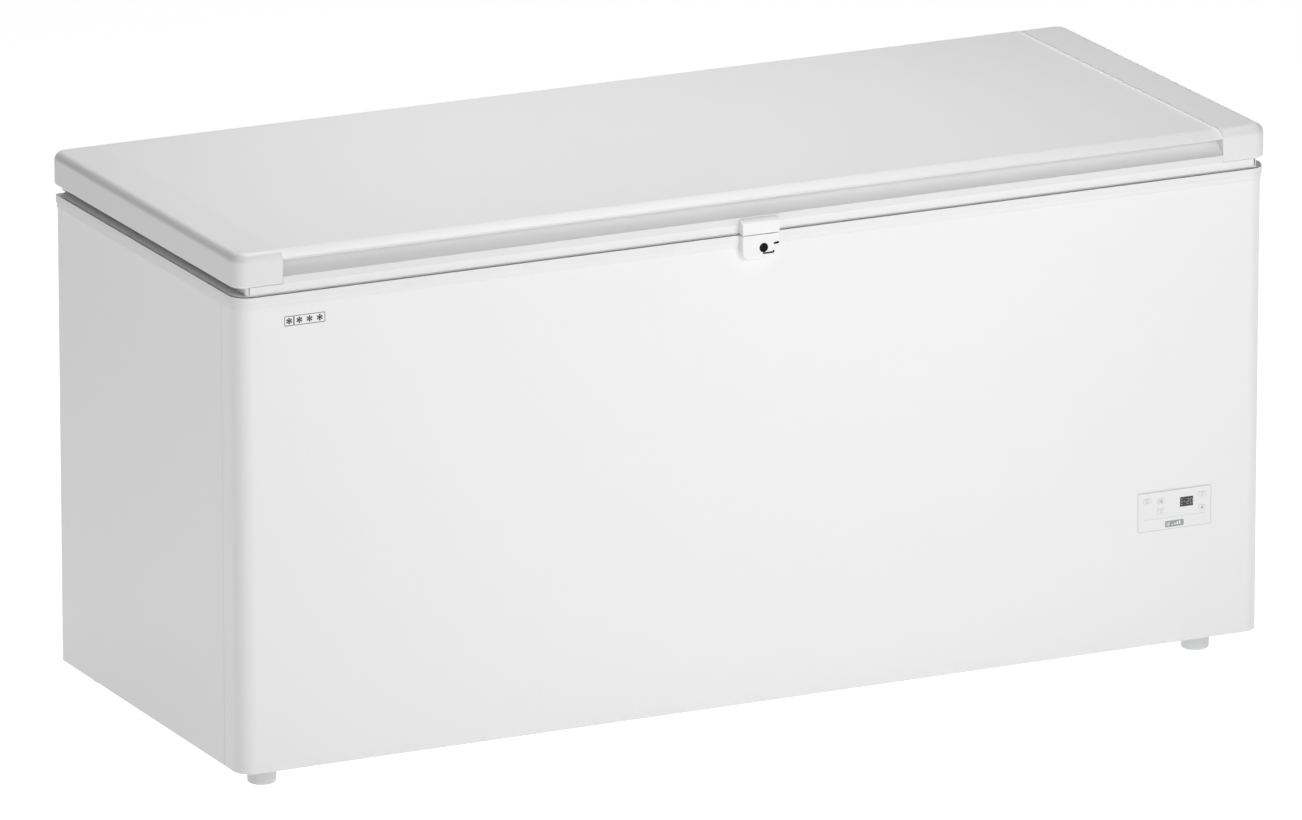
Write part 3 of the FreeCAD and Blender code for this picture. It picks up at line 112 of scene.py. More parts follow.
Colour = tuple[float, float, float]
Point = tuple[float, float]
Spot = tuple[float, float, float]
Path = tuple[Sequence[Spot], bool]


# ------------------------------------------------------------------ shader maths
class Val:
    """A node's output that takes part in Python arithmetic."""

    def __init__(self, tree: "ShaderTree", socket: bpy.types.NodeSocket) -> None:
        """Wrap one output socket of a tree."""
        self.tree = tree
        self.socket = socket

    def _math(self, operation: str, first: Any, second: Any) -> "Val":
        """Add a Math node for an operation on two values."""
        return self.tree.node("ShaderNodeMath", {"operation": operation}, {0: first, 1: second})

    def __add__(self, other: Any) -> "Val":
        """Sum."""
        return self._math("ADD", self, other)

    __radd__ = __add__

    def __sub__(self, other: Any) -> "Val":
        """Difference."""
        return self._math("SUBTRACT", self, other)

    def __rsub__(self, other: Any) -> "Val":
        """Difference from a number."""
        return self._math("SUBTRACT", other, self)

    def __mul__(self, other: Any) -> "Val":
        """Product."""
        return self._math("MULTIPLY", self, other)

    __rmul__ = __mul__

    def above(self, edge: float) -> "Val":
        """One where the value is over an edge, and zero elsewhere."""
        return self._math("GREATER_THAN", self, edge)

    def most(self, other: Any) -> "Val":
        """The larger of two values."""
        return self._math("MAXIMUM", self, other)


class ShaderTree:
    """A material's node tree, filled one node at a time."""

    def __init__(self, name: str) -> None:
        """Start an empty material of that name."""
        self.material = bpy.data.materials.new(name)
        self.material.use_nodes = True
        self.tree = self.material.node_tree
        self.tree.nodes.clear()

    def node(
        self,
        kind: str,
        settings: dict[str, Any] | None = None,
        inputs: dict[Any, Any] | None = None,
        output: Any = 0,
    ) -> Val:
        """Add any node.

        Args:
            kind: The node's type.
            settings: Its properties.
            inputs: Values or links of its sockets, by name or number.
            output: The output that is wanted.

        Returns:
            That output as a value.
        """
        made = self.tree.nodes.new(kind)
        for key, value in (settings or {}).items():
            setattr(made, key, value)
        for key, value in (inputs or {}).items():
            if isinstance(value, Val):
                self.tree.links.new(value.socket, made.inputs[key])
            elif value is not None:
                made.inputs[key].default_value = value
        return Val(self, made.outputs[output])

    def place(self, stretch: Spot = (1.0, 1.0, 1.0)) -> Val:
        """Object coordinates in metres, stretched along each axis."""
        at = self.node("ShaderNodeTexCoord", output="Object")
        inputs = {"Vector": at, "Scale": stretch}
        return self.node("ShaderNodeMapping", {"vector_type": "POINT"}, inputs)

    def noise(self, at: Val, size: float, detail: float = 2.0) -> Val:
        """Noise whose features are about as large as size, in metres."""
        inputs = {"Vector": at, "Scale": 1.0 / size, "Detail": detail, "Roughness": 0.55}
        return self.node("ShaderNodeTexNoise", None, inputs, "Fac")

    def cells(self, at: Val, size: float, feature: str = "F1", output: str = "Distance") -> Val:
        """Voronoi cells about as large as size, in metres."""
        inputs = {"Vector": at, "Scale": 1.0 / size}
        return self.node("ShaderNodeTexVoronoi", {"feature": feature}, inputs, output)

    def mark(self, name: str) -> Val:
        """A number that the piece's mesh carries."""
        return self.node("ShaderNodeAttribute", {"attribute_name": name}, None, "Fac")

    def blend(self, share: Any, first: Any, second: Any) -> Val:
        """Colour between two colours by a share from 0 to 1."""
        def rgba(value: Any) -> Any:
            return value if isinstance(value, Val) else (*value, 1.0)
        inputs = {"Factor": share, "A": rgba(first), "B": rgba(second)}
        made = self.tree.nodes.new("ShaderNodeMix")
        made.data_type = "RGBA"
        slots = {"Factor": 0, "A": 6, "B": 7}
        for key, value in inputs.items():
            if isinstance(value, Val):
                self.tree.links.new(value.socket, made.inputs[slots[key]])
            else:
                made.inputs[slots[key]].default_value = value
        return Val(self, made.outputs[2])

    def bump(self, height: Val, depth: float, under: Val | None = None) -> Val:
        """Normal of a relief of that depth in metres, over another relief if given."""
        inputs = {"Height": height, "Distance": depth, "Strength": 1.0, "Normal": under}
        return self.node("ShaderNodeBump", None, inputs, "Normal")

    def surface(self, **inputs: Any) -> bpy.types.Material:
        """Close the tree with a principled shader whose sockets are given with underscores."""
        named = {
            key.replace("_", " ").title().replace("Ior", "IOR"): value
            for key, value in inputs.items()
        }
        for key in ("Base Color", "Emission Color"):
            if key in named and not isinstance(named[key], Val):
                named[key] = (*named[key], 1.0)
        shader = self.node("ShaderNodeBsdfPrincipled", None, named)
        self.node_output(shader)
        return self.material

    def node_output(self, shader: Val) -> None:
        """Link a shader to the material's output."""
        made = self.tree.nodes.new("ShaderNodeOutputMaterial")
        self.tree.links.new(shader.socket, made.inputs["Surface"])


# ------------------------------------------------------------------ geometry trees
class GeoTree:
    """A Geometry Nodes tree with named sizes, run once on a carrier mesh."""

    def __init__(self, name: str) -> None:
        """Start a tree that takes and gives geometry."""
        self.group = bpy.data.node_groups.new(name, "GeometryNodeTree")
        faces = self.group.interface
        faces.new_socket("Geometry", in_out="INPUT", socket_type="NodeSocketGeometry")
        faces.new_socket("Geometry", in_out="OUTPUT", socket_type="NodeSocketGeometry")
        self.source = self.group.nodes.new("NodeGroupInput")
        self.end = self.group.nodes.new("NodeGroupOutput")

    def size(self, name: str, kind: str = "Float") -> bpy.types.NodeSocket:
        """Add a named input and return its socket inside the tree."""
        self.group.interface.new_socket(name, in_out="INPUT", socket_type="NodeSocket" + kind)
        return self.source.outputs[name]

    def node(
        self, kind: str, settings: dict[str, Any] | None, inputs: dict[Any, Any], output: Any = 0
    ) -> bpy.types.NodeSocket:
        """Add a node.

        Args:
            kind: The node's type without its family's prefix.
            settings: Its properties, set before its sockets.
            inputs: Values or sockets for its inputs.
            output: The output that is wanted.

        Returns:
            That output's socket.
        """
        made = self.group.nodes.new("GeometryNode" + kind)
        for key, value in (settings or {}).items():
            setattr(made, key, value)
        for key, value in inputs.items():
            if isinstance(value, bpy.types.NodeSocket):
                self.group.links.new(value, made.inputs[key])
            else:
                made.inputs[key].default_value = value
        return made.outputs[output]

    def fillet(
        self, path: bpy.types.NodeSocket, radius: bpy.types.NodeSocket, steps: int
    ) -> bpy.types.NodeSocket:
        """Round the corners of a path."""
        inputs = {"Curve": path, "Radius": radius, "Count": steps, "Limit Radius": True}
        return self.node("FilletCurve", {"mode": "POLY"}, inputs)

    def sweep(
        self, path: bpy.types.NodeSocket, profile: bpy.types.NodeSocket
    ) -> bpy.types.NodeSocket:
        """Draw a profile along a path, with closed ends."""
        inputs = {"Curve": path, "Profile Curve": profile, "Fill Caps": True}
        return self.node("CurveToMesh", None, inputs)

    def shape_of(self, piece: bpy.types.NodeSocket) -> bpy.types.NodeSocket:
        """Geometry of another object, in its own axes."""
        settings = {"transform_space": "ORIGINAL"}
        return self.node("ObjectInfo", settings, {"Object": piece}, "Geometry")

    def close(self, geometry: bpy.types.NodeSocket, smooth: bool = True) -> None:
        """Smooth, realise and give the material, then end the tree."""
        shaded = self.node("SetShadeSmooth", None, {"Geometry": geometry, "Shade Smooth": smooth})
        real = self.node("RealizeInstances", None, {"Geometry": shaded})
        inputs = {"Geometry": real, "Material": self.size("Material", "Material")}
        dressed = self.node("SetMaterial", None, inputs)
        self.group.links.new(dressed, self.end.inputs[0])

    def run(self, name: str, carrier: bpy.types.Object, sizes: dict[str, Any]) -> bpy.types.Object:
        """Run the tree on a carrier and keep the result as a plain mesh.

        Args:
            name: Name of the finished piece.
            carrier: Object whose mesh feeds the tree; it is removed.
            sizes: Values of the tree's named inputs.

        Returns:
            The finished piece, at the origin.
        """
        work = carrier.modifiers.new("tree", "NODES")
        work.node_group = self.group
        for item in self.group.interface.items_tree:
            if item.in_out == "INPUT" and item.name in sizes:
                work[item.identifier] = sizes[item.name]
        graph = bpy.context.evaluated_depsgraph_get()
        mesh = bpy.data.meshes.new_from_object(carrier.evaluated_get(graph), depsgraph=graph)
        mesh.name = name
        bpy.data.objects.remove(carrier)
        return link(name, mesh)


def wire_tree() -> GeoTree:
    """Tree that bends round wire along the edges of its carrier."""
    tree = GeoTree("bent_wire")
    wire = tree.size("Wire radius")
    bend = tree.size("Bend radius")
    sides = tree.size("Sides", "Int")
    path = tree.node("MeshToCurve", None, {0: tree.source.outputs[0]})
    path = tree.fillet(path, bend, 6)
    sizes = {"Resolution": sides, "Radius": wire}
    ring = tree.node("CurvePrimitiveCircle", {"mode": "RADIUS"}, sizes)
    tree.close(tree.sweep(path, ring))
    return tree


def section_tree() -> GeoTree:
    """Tree that draws a moulded section along the edges of its carrier."""
    tree = GeoTree("drawn_section")
    bend = tree.size("Bend radius")
    section = tree.size("Section", "Object")
    path = tree.node("MeshToCurve", None, {0: tree.source.outputs[0]})
    path = tree.fillet(path, bend, 8)
    shape = tree.node("MeshToCurve", None, {0: tree.shape_of(section)})
    tree.close(tree.sweep(path, shape), False)
    return tree


def repeat_tree() -> GeoTree:
    """Tree that sets a copy of one small part on every point of its carrier."""
    tree = GeoTree("repeated_part")
    part = tree.size("Part", "Object")
    turn = tree.size("Turn", "Vector")
    points = tree.node("MeshToPoints", {"mode": "VERTICES"}, {0: tree.source.outputs[0]})
    copies = {"Points": points, "Instance": tree.shape_of(part), "Rotation": turn}
    tree.close(tree.node("InstanceOnPoints", None, copies))
    return tree


# ------------------------------------------------------------------ finishes
class Gloss(Enum):
    """Roughness of a surface that throws light back more or less sharply."""

    MATTE = 0.6
    SATIN = 0.42
    SEMI = 0.3


@dataclass(frozen=True)
class Finish(ABC):
    """A surface that can be put on a piece; one material is made for each."""

    name: str
    colour: Colour

    def material(self) -> bpy.types.Material:
        """The finish's material, made the first time it is asked for."""
        known = bpy.data.materials.get(self.name)
        return known if known else self.build(ShaderTree(self.name))

    @abstractmethod
    def build(self, tree: ShaderTree) -> bpy.types.Material:
        """Fill the tree and return its material."""

    def shade(self, factor: float) -> Colour:
        """The finish's colour, lighter or darker."""
        return tuple(min(1.0, channel * factor) for channel in self.colour)


@dataclass(frozen=True)
class Enamel(Finish):
    """Baked enamel on sheet steel: orange peel, cloudy gloss and paler, duller folds."""

    gloss: Gloss = Gloss.SEMI
    peel_size: float = 1.6 * MM
    peel_depth: float = 0.004 * MM
    coat: float = 0.25

    def build(self, tree: ShaderTree) -> bpy.types.Material:
        """Fill the tree and return its material."""
        at = tree.place()
        cloud = tree.noise(at, 0.35, 3.0)
        haze = tree.noise(at, 0.04, 4.0)
        speck = tree.noise(at, 0.9 * MM, 1.0)
        fold = tree.mark("edge")
        colour = tree.blend(cloud * 0.5, self.colour, self.shade(0.985))
        colour = tree.blend(fold * (haze * 0.35), colour, self.shade(0.86))
        roughness = haze * 0.08 + (self.gloss.value - 0.04) + fold * 0.06
        peel = tree.bump(tree.noise(at, self.peel_size, 1.0), self.peel_depth)
        return tree.surface(
            base_color=colour, roughness=roughness, coat_weight=self.coat, coat_roughness=0.12,
            normal=tree.bump(speck, self.peel_depth / 4, peel),
        )


@dataclass(frozen=True)
class Moulded(Finish):
    """Injection-moulded plastic: spark-eroded grain, flow clouds and rubbed edges."""

    gloss: Gloss = Gloss.SATIN
    grain_size: float = 0.7 * MM
    grain_depth: float = 0.012 * MM
    ior: float = 1.49

    def build(self, tree: ShaderTree) -> bpy.types.Material:
        """Fill the tree and return its material."""
        at = tree.place()
        flow = tree.noise(tree.place((0.3, 1.0, 1.0)), 0.06, 3.0)
        grain = tree.cells(at, self.grain_size, "SMOOTH_F1")
        fine = tree.noise(at, self.grain_size / 3, 2.0)
        rub = tree.mark("edge")
        colour = tree.blend(flow * 0.6, self.colour, self.shade(0.96))
        colour = tree.blend(rub * 0.25, colour, self.shade(1.12))
        roughness = fine * 0.1 + (self.gloss.value - 0.05) - rub * 0.08
        relief = tree.bump(fine, self.grain_depth / 3, tree.bump(grain, self.grain_depth))
        return tree.surface(
            base_color=colour, roughness=roughness, normal=relief, ior=self.ior,
        )


@dataclass(frozen=True)
class Stucco(Finish):
    """Aluminium sheet rolled with a pebbled pattern."""

    pebble: float = 5.5 * MM
    relief: float = 0.28 * MM

    def build(self, tree: ShaderTree) -> bpy.types.Material:
        """Fill the tree and return its material."""
        at = tree.place()
        wander = tree.noise(at, 9.0 * MM, 2.0)
        pebbles = tree.cells(at, self.pebble, "SMOOTH_F1") + wander * 0.35
        frost = tree.noise(at, 0.12, 4.0)
        scratch = tree.noise(tree.place((1.0, 1.0, 0.04)), 0.8 * MM, 2.0)
        colour = tree.blend(frost * 0.5, self.colour, self.shade(0.9))
        roughness = frost * 0.16 + scratch * 0.06 + 0.26
        normal = tree.bump(scratch, 0.006 * MM, tree.bump(pebbles, self.relief))
        return tree.surface(base_color=colour, roughness=roughness, metallic=0.92, normal=normal)


@dataclass(frozen=True)
class Galvanised(Finish):
    """Zinc-dipped steel with its crystals."""

    crystal: float = 9.0 * MM

    def build(self, tree: ShaderTree) -> bpy.types.Material:
        """Fill the tree and return its material."""
        at = tree.place()
        wander = tree.noise(at, 14.0 * MM, 3.0)
        crystal = tree.cells(at, self.crystal, "F1", "Color")
        shade = tree.node("ShaderNodeSeparateColor", None, {"Color": crystal}, "Red")
        seam = tree.cells(at, self.crystal, "DISTANCE_TO_EDGE")
        colour = tree.blend(shade * 0.5 + wander * 0.3, self.shade(0.82), self.shade(1.1))
        roughness = shade * 0.22 + wander * 0.1 + 0.28
        return tree.surface(
            base_color=colour, roughness=roughness, metallic=0.85, normal=tree.bump(seam, 0.02 * MM)
        )


@dataclass(frozen=True)
class Foam(Finish):
    """Poured polyurethane foam with open cells at its skin."""

    cell: float = 1.4 * MM

    def build(self, tree: ShaderTree) -> bpy.types.Material:
        """Fill the tree and return its material."""
        at = tree.place()
        cells = tree.cells(at, self.cell)
        pour = tree.noise(tree.place((1.0, 1.0, 2.5)), 0.08, 4.0)
        colour = tree.blend(pour, self.shade(0.88), self.shade(1.06))
        colour = tree.blend(cells.above(0.55) * 0.4, colour, self.shade(0.7))
        relief = tree.bump(pour, 1.0 * MM, tree.bump(cells, 0.3 * MM))
        return tree.surface(base_color=colour, roughness=pour * 0.1 + 0.85, normal=relief)


@dataclass(frozen=True)
class Copper(Finish):
    """Drawn copper tube, tarnished in patches."""

    def build(self, tree: ShaderTree) -> bpy.types.Material:
        """Fill the tree and return its material."""
        at = tree.place()
        tarnish = tree.noise(at, 0.03, 5.0)
        drawn = tree.noise(tree.place((0.08, 0.08, 1.0)), 0.5 * MM, 2.0)
        colour = tree.blend(tarnish * 0.8, self.colour, self.shade(0.45))
        roughness = tarnish * 0.3 + drawn * 0.08 + 0.18
        return tree.surface(
            base_color=colour, roughness=roughness, metallic=1.0, normal=tree.bump(drawn, 0.01 * MM)
        )


@dataclass(frozen=True)
class Rubber(Finish):
    """Soft moulded rubber or vinyl with a dusty bloom."""

    bloom: float = 0.35

    def build(self, tree: ShaderTree) -> bpy.types.Material:
        """Fill the tree and return its material."""
        at = tree.place()
        dust = tree.noise(at, 0.012, 5.0)
        skin = tree.noise(at, 0.4 * MM, 3.0)
        colour = tree.blend(dust * self.bloom, self.colour, self.shade(1.7))
        return tree.surface(
            base_color=colour, roughness=dust * 0.2 + 0.6, normal=tree.bump(skin, 0.02 * MM),
            sheen_weight=0.15,
        )


@dataclass(frozen=True)
class Plated(Finish):
    """Plated or oiled steel with turning marks and rubbed edges."""

    rough: float = 0.28
    line: float = 0.25 * MM

    def build(self, tree: ShaderTree) -> bpy.types.Material:
        """Fill the tree and return its material."""
        at = tree.place()
        lines = tree.noise(tree.place((1.0, 0.05, 0.05)), self.line, 2.0)
        stain = tree.noise(at, 0.006, 4.0)
        rub = tree.mark("edge")
        colour = tree.blend(stain * 0.6, self.colour, self.shade(0.7))
        colour = tree.blend(rub * 0.5, colour, self.shade(1.25))
        return tree.surface(
            base_color=colour, roughness=stain * 0.2 + self.rough, metallic=0.95,
            normal=tree.bump(lines, 0.006 * MM),
        )


@dataclass(frozen=True)
class CircuitBoard(Finish):
    """Green solder mask over copper tracks and tinned pads."""

    pitch: float = 2.54 * MM

    def build(self, tree: ShaderTree) -> bpy.types.Material:
        """Fill the tree and return its material."""
        at = tree.place()
        tracks = tree.node(
            "ShaderNodeTexWave", {"bands_direction": "Z"},
            {"Vector": at, "Scale": 0.5 / self.pitch, "Distortion": 2.5, "Detail": 1.0}, "Fac",
        )
        pads = 1.0 - tree.cells(at, self.pitch)
        mask = tracks.above(0.7)
        tin = pads.above(0.82)
        colour = tree.blend(mask * 0.6, self.colour, self.shade(2.2))
        colour = tree.blend(tin, colour, (0.7, 0.7, 0.66))
        return tree.surface(
            base_color=colour, roughness=tracks * 0.1 + 0.3, metallic=tin * 0.9,
            normal=tree.bump(mask.most(tin), 0.05 * MM),
        )


@dataclass(frozen=True)
class Window(Finish):
    """Smoked acrylic over the display."""

    def build(self, tree: ShaderTree) -> bpy.types.Material:
        """Fill the tree and return its material."""
        at = tree.place()
        wipe = tree.noise(tree.place((1.0, 1.0, 0.2)), 1.5 * MM, 3.0)
        smoke = tree.noise(at, 0.01, 2.0)
        return tree.surface(
            base_color=tree.blend(smoke, self.colour, self.shade(1.6)),
            roughness=wipe * 0.08 + 0.08,
            coat_weight=0.4, coat_roughness=0.05, normal=tree.bump(wipe, 0.001 * MM),
        )


@dataclass(frozen=True)
class Ink(Finish):
    """Pad-printed ink with a slightly broken edge tone."""

    glow: float = 0.0

    def build(self, tree: ShaderTree) -> bpy.types.Material:
        """Fill the tree and return its material."""
        at = tree.place()
        film = tree.noise(at, 0.5 * MM, 3.0)
        colour = tree.blend(film * 0.35, self.colour, self.shade(1.25))
        return tree.surface(
            base_color=colour, roughness=film * 0.15 + 0.4, normal=tree.bump(film, 0.004 * MM),
            emission_color=colour, emission_strength=self.glow,
        )


class Finishes:
    """Every finish of the freezer."""

    SHEET = Enamel("white_enamel", (0.8, 0.8, 0.8))
    LID_SHEET = Enamel("lid_enamel", (0.8, 0.8, 0.8), Gloss.SATIN)
    # The caps, grip profile and collar are one white plastic. Their values below 0.8 are painted
    # shade, set to the darker tone these parts take in the light.
    CAP = Moulded("cap_plastic", (0.74, 0.74, 0.74), Gloss.SATIN)
    GRIP = Moulded("grip_plastic", (0.73, 0.73, 0.73), Gloss.SATIN)
    COLLAR = Moulded("collar_plastic", (0.77, 0.77, 0.77), Gloss.SATIN)
    LATCH = Moulded("latch_plastic", (0.82, 0.82, 0.82), Gloss.SATIN)
    TRAY = Moulded("tray_plastic", (0.8, 0.8, 0.8), Gloss.MATTE)
    PALE_GREY = Moulded("foot_plastic", (0.62, 0.62, 0.62), Gloss.SATIN)
    GRILLE = Moulded("grille_plastic", (0.72, 0.72, 0.72), Gloss.SATIN)
    CASE = Moulded("case_plastic", (0.5, 0.51, 0.52), Gloss.MATTE)
    BLACK = Moulded("black_plastic", (0.018, 0.018, 0.02), Gloss.SATIN)
    BARREL = Moulded("barrel_plastic", (0.006, 0.006, 0.007), Gloss.SEMI, ior=1.2)
    FASCIA = Moulded("fascia_plastic", (0.8, 0.8, 0.8), Gloss.SEMI, 0.4 * MM, 0.004 * MM)
    KEY = Moulded("key_plastic", (0.79, 0.79, 0.79), Gloss.SATIN, 0.4 * MM, 0.006 * MM)
    LINER = Stucco("stucco_liner", (0.83, 0.84, 0.85))
    ZINC_SHEET = Galvanised("galvanised_sheet", (0.56, 0.58, 0.6))
    FOAM = Foam("pour_foam", (0.78, 0.68, 0.42))
    COPPER = Copper("copper_tube", (0.78, 0.4, 0.25))
    POT = Enamel("compressor_enamel", (0.014, 0.014, 0.016), Gloss.SATIN, 2.5 * MM, 0.03 * MM, 0.1)
    BRACKET = Enamel("bracket_enamel", (0.8, 0.81, 0.82), Gloss.SATIN, 1.2 * MM, 0.01 * MM, 0.1)
    BLACK_RUBBER = Rubber("black_rubber", (0.02, 0.02, 0.022))
    GASKET = Rubber("gasket_vinyl", (0.5, 0.505, 0.51), 0.15)
    ZINC = Plated("zinc_plate", (0.62, 0.63, 0.64))
    SPRING = Plated("oiled_spring", (0.16, 0.165, 0.17), 0.34)
    BOARD = CircuitBoard("circuit_board", (0.015, 0.11, 0.045))
    WINDOW = Window("smoked_window", (0.012, 0.013, 0.015))
    WIRE = Moulded("wire_coating", (0.8, 0.81, 0.82), Gloss.SEMI, 1.0 * MM, 0.01 * MM)
    DARK_INK = Ink("dark_ink", (0.02, 0.021, 0.023))
    BLACK_INK = Ink("black_ink", (0.003, 0.003, 0.003))
    GREY_INK = Ink("grey_ink", (0.3, 0.31, 0.32))
    FAINT_INK = Ink("faint_ink", (0.38, 0.39, 0.4))
    PALE_INK = Ink("pale_ink", (0.8, 0.81, 0.82))
    LAMP = Ink("lamp_segment", (0.3, 0.33, 0.34), 0.15)


# ------------------------------------------------------------------ mesh helpers
def link(name: str, mesh: bpy.types.Mesh) -> bpy.types.Object:
    """Put a mesh in the scene as an object at the origin."""
    made = bpy.data.objects.new(name, mesh)
    bpy.context.scene.collection.objects.link(made)
    return made


def raw_mesh(
    name: str, points: Sequence[Sequence[float]], edges: Sequence[Sequence[int]] = (),
    faces: Sequence[Sequence[int]] = (),
) -> bpy.types.Object:
    """Object from points, edges and faces."""
    mesh = bpy.data.meshes.new(name)
    mesh.from_pydata(
        [tuple(p) for p in points], [tuple(e) for e in edges], [tuple(f) for f in faces]
    )
    mesh.validate()
    return link(name, mesh)


def paths_mesh(name: str, paths: Iterable[Path]) -> bpy.types.Object:
    """Carrier of edges for the trees.

    Args:
        name: Name of the carrier.
        paths: Pairs of a list of points and whether its ends are joined.

    Returns:
        An object of edges only.
    """
    points: list[Sequence[float]] = []
    edges: list[tuple[int, int]] = []
    for path, closed in paths:
        first = len(points)
        points.extend(path)
        edges.extend((first + i, first + i + 1) for i in range(len(path) - 1))
        if closed:
            edges.append((len(points) - 1, first))
    return raw_mesh(name, points, edges)


def joined(name: str, meshes: Sequence[bpy.types.Mesh]) -> bpy.types.Mesh:
    """Join meshes of touching pieces and drop the faces where they meet.

    Args:
        name: Name of the new mesh.
        meshes: Closed meshes of loose triangles.

    Returns:
        One mesh without the inner faces.
    """
    work = bmesh.new()
    for mesh in meshes:
        work.from_mesh(mesh)
    work.faces.ensure_lookup_table()
    tree = BVHTree.FromBMesh(work)
    inner = []
    for face in work.faces:
        near = tree.find_nearest_range(face.calc_center_median(), MEETING_GAP)
        if any(face.normal.dot(normal) < FACING for _, normal, _, _ in near):
            inner.append(face)
    bmesh.ops.delete(work, geom=inner, context="FACES")
    mesh = bpy.data.meshes.new(name)
    work.to_mesh(mesh)
    work.free()
    return mesh


def rounded(
    mesh: bpy.types.Mesh, width: float, angle: float = FOLD_ANGLE, steps: int = 2, flat: float = 0.6
) -> None:
    """Clean a mesh in place and round its sharp edges.

    Args:
        mesh: Mesh of loose triangles or faces.
        width: Reach of the rounding on each side of an edge, in metres.
        angle: Edges that turn by more than this many degrees are rounded.
        steps: Faces across each rounding.
        flat: Faces that turn by less than this many degrees are joined.
    """
    work = bmesh.new()
    work.from_mesh(mesh)
    bmesh.ops.remove_doubles(work, verts=work.verts, dist=WELD_GAP)
    bmesh.ops.dissolve_limit(
        work, angle_limit=math.radians(flat), verts=work.verts, edges=work.edges,
        use_dissolve_boundaries=False,
    )
    mark = work.faces.layers.float.new("edge")
    if width > 0:
        limit = math.radians(angle)
        sharp = [e for e in work.edges if len(e.link_faces) == 2 and e.calc_face_angle(0.0) > limit]
        made = bmesh.ops.bevel(
            work, geom=sharp, offset=width, offset_type="OFFSET", segments=steps, profile=0.5,
            affect="EDGES", clamp_overlap=True, loop_slide=True, harden_normals=False,
        )
        for face in made["faces"]:
            face[mark] = 1.0
    for face in work.faces:
        face.smooth = True
    work.to_mesh(mesh)
    work.free()
    mesh.set_sharp_from_angle(angle=math.radians(SHARP_ANGLE))


def even_normals(piece: bpy.types.Object) -> None:
    """Let large faces set the shading at their rounded edges."""
    work = piece.modifiers.new("even_normals", "WEIGHTED_NORMAL")
    work.keep_sharp = True
    work.weight = NORMAL_WEIGHT


class Print:
    """Ink on a flat face that looks along -Y, drawn from strokes and patches."""

    def __init__(self, x: float, z: float, unit: float = MM) -> None:
        """Start an empty print whose own origin is at x, z and whose sizes are in units."""
        self.x = x
        self.z = z
        self.unit = unit
        self.outlines: list[list[Point]] = []

    def patch(self, points: Sequence[Point]) -> "Print":
        """Add a filled convex outline."""
        self.outlines.append(list(points))
        return self

    def stroke(self, start: Point, end: Point, width: float) -> "Print":
        """Add a straight stroke."""
        along = Vector((end[0] - start[0], end[1] - start[1])).normalized()
        across = Vector((-along.y, along.x)) * (width / 2)
        a, b = Vector(start), Vector(end)
        return self.patch([
            tuple(a - across), tuple(b - across), tuple(b + across), tuple(a + across)
        ])

    def line(self, points: Sequence[Point], width: float) -> "Print":
        """Add strokes through points."""
        for start, end in zip(points, points[1:]):
            self.stroke(start, end, width)
        return self

    def arc(
        self, centre: Point, radius: float, width: float, start: float, end: float, steps: int = 16
    ) -> "Print":
        """Add a stroke along part of a circle, by degrees from +X towards +Z."""
        inner, outer = radius - width / 2, radius + width / 2
        for index in range(steps):
            a = math.radians(start + (end - start) * index / steps)
            b = math.radians(start + (end - start) * (index + 1) / steps)
            self.patch([
                (centre[0] + r * math.cos(t), centre[1] + r * math.sin(t))
                for r, t in ((inner, a), (outer, a), (outer, b), (inner, b))
            ])
        return self

    def disc(self, centre: Point, radius: float, sides: int = 20) -> "Print":
        """Add a filled circle."""
        turns = [2 * math.pi * i / sides for i in range(sides)]
        return self.patch([
            (centre[0] + radius * math.cos(t), centre[1] + radius * math.sin(t)) for t in turns
        ])

    def slab(self, centre: Point, width: float, height: float, radius: float) -> "Print":
        """Add a filled rectangle with round corners."""
        points = []
        for index, (sx, sz) in enumerate(CORNER_SIGNS):
            cx = centre[0] + sx * (width / 2 - radius)
            cz = centre[1] + sz * (height / 2 - radius)
            for step in range(6):
                turn = math.radians(90 * index + 18 * step)
                points.append((cx + radius * math.cos(turn), cz + radius * math.sin(turn)))
        return self.patch(points)

    def frame(
        self, centre: Point, width: float, height: float, radius: float, line: float
    ) -> "Print":
        """Add a rectangular outline with round corners."""
        w, h = width / 2, height / 2
        cx, cz = centre
        for sign in (-1, 1):
            self.stroke((cx - w + radius, cz + sign * h), (cx + w - radius, cz + sign * h), line)
            self.stroke((cx + sign * w, cz - h + radius), (cx + sign * w, cz + h - radius), line)
        for index, (sx, sz) in enumerate(CORNER_SIGNS):
            corner = (cx + sx * (w - radius), cz + sz * (h - radius))
            self.arc(corner, radius, line, 90 * index, 90 * index + 90, 5)
        return self

    def flake(self, centre: Point, radius: float, width: float, arms: int = 6) -> "Print":
        """Add a frost star with small branches."""
        for index in range(arms):
            turn = math.radians(90 + 360 * index / arms)
            out = Vector((math.cos(turn), math.sin(turn)))
            tip = Vector(centre) + out * radius
            self.stroke(centre, tuple(tip), width)
            knee = Vector(centre) + out * radius * 0.55
            for lean in (-1, 1):
                twig = turn + lean * math.radians(50)
                end = knee + Vector((math.cos(twig), math.sin(twig))) * radius * 0.33
                self.stroke(tuple(knee), tuple(end), width * 0.8)
        return self

    def make(
        self, name: str, face_y: float, thickness: float = PRINT_THICKNESS
    ) -> bpy.types.Object:
        """Turn the print into thin closed slabs that stand on the plane y = face_y."""
        points: list[Spot] = []
        faces: list[list[int]] = []
        for outline in self.outlines:
            count = len(outline)
            first = len(points)
            pairs = zip(outline, outline[1:] + outline[:1])
            area = sum(a[0] * b[1] - b[0] * a[1] for a, b in pairs)
            ring = outline if area > 0 else outline[::-1]
            for y in (face_y - thickness, face_y):
                points += [(self.x + px * self.unit, y, self.z + pz * self.unit) for px, pz in ring]
            faces.append([first + i for i in range(count)])
            faces.append([first + count + i for i in reversed(range(count))])
            for i in range(count):
                j = (i + 1) % count
                faces.append([first + i, first + count + i, first + count + j, first + j])
        return raw_mesh(name, points, faces=faces)


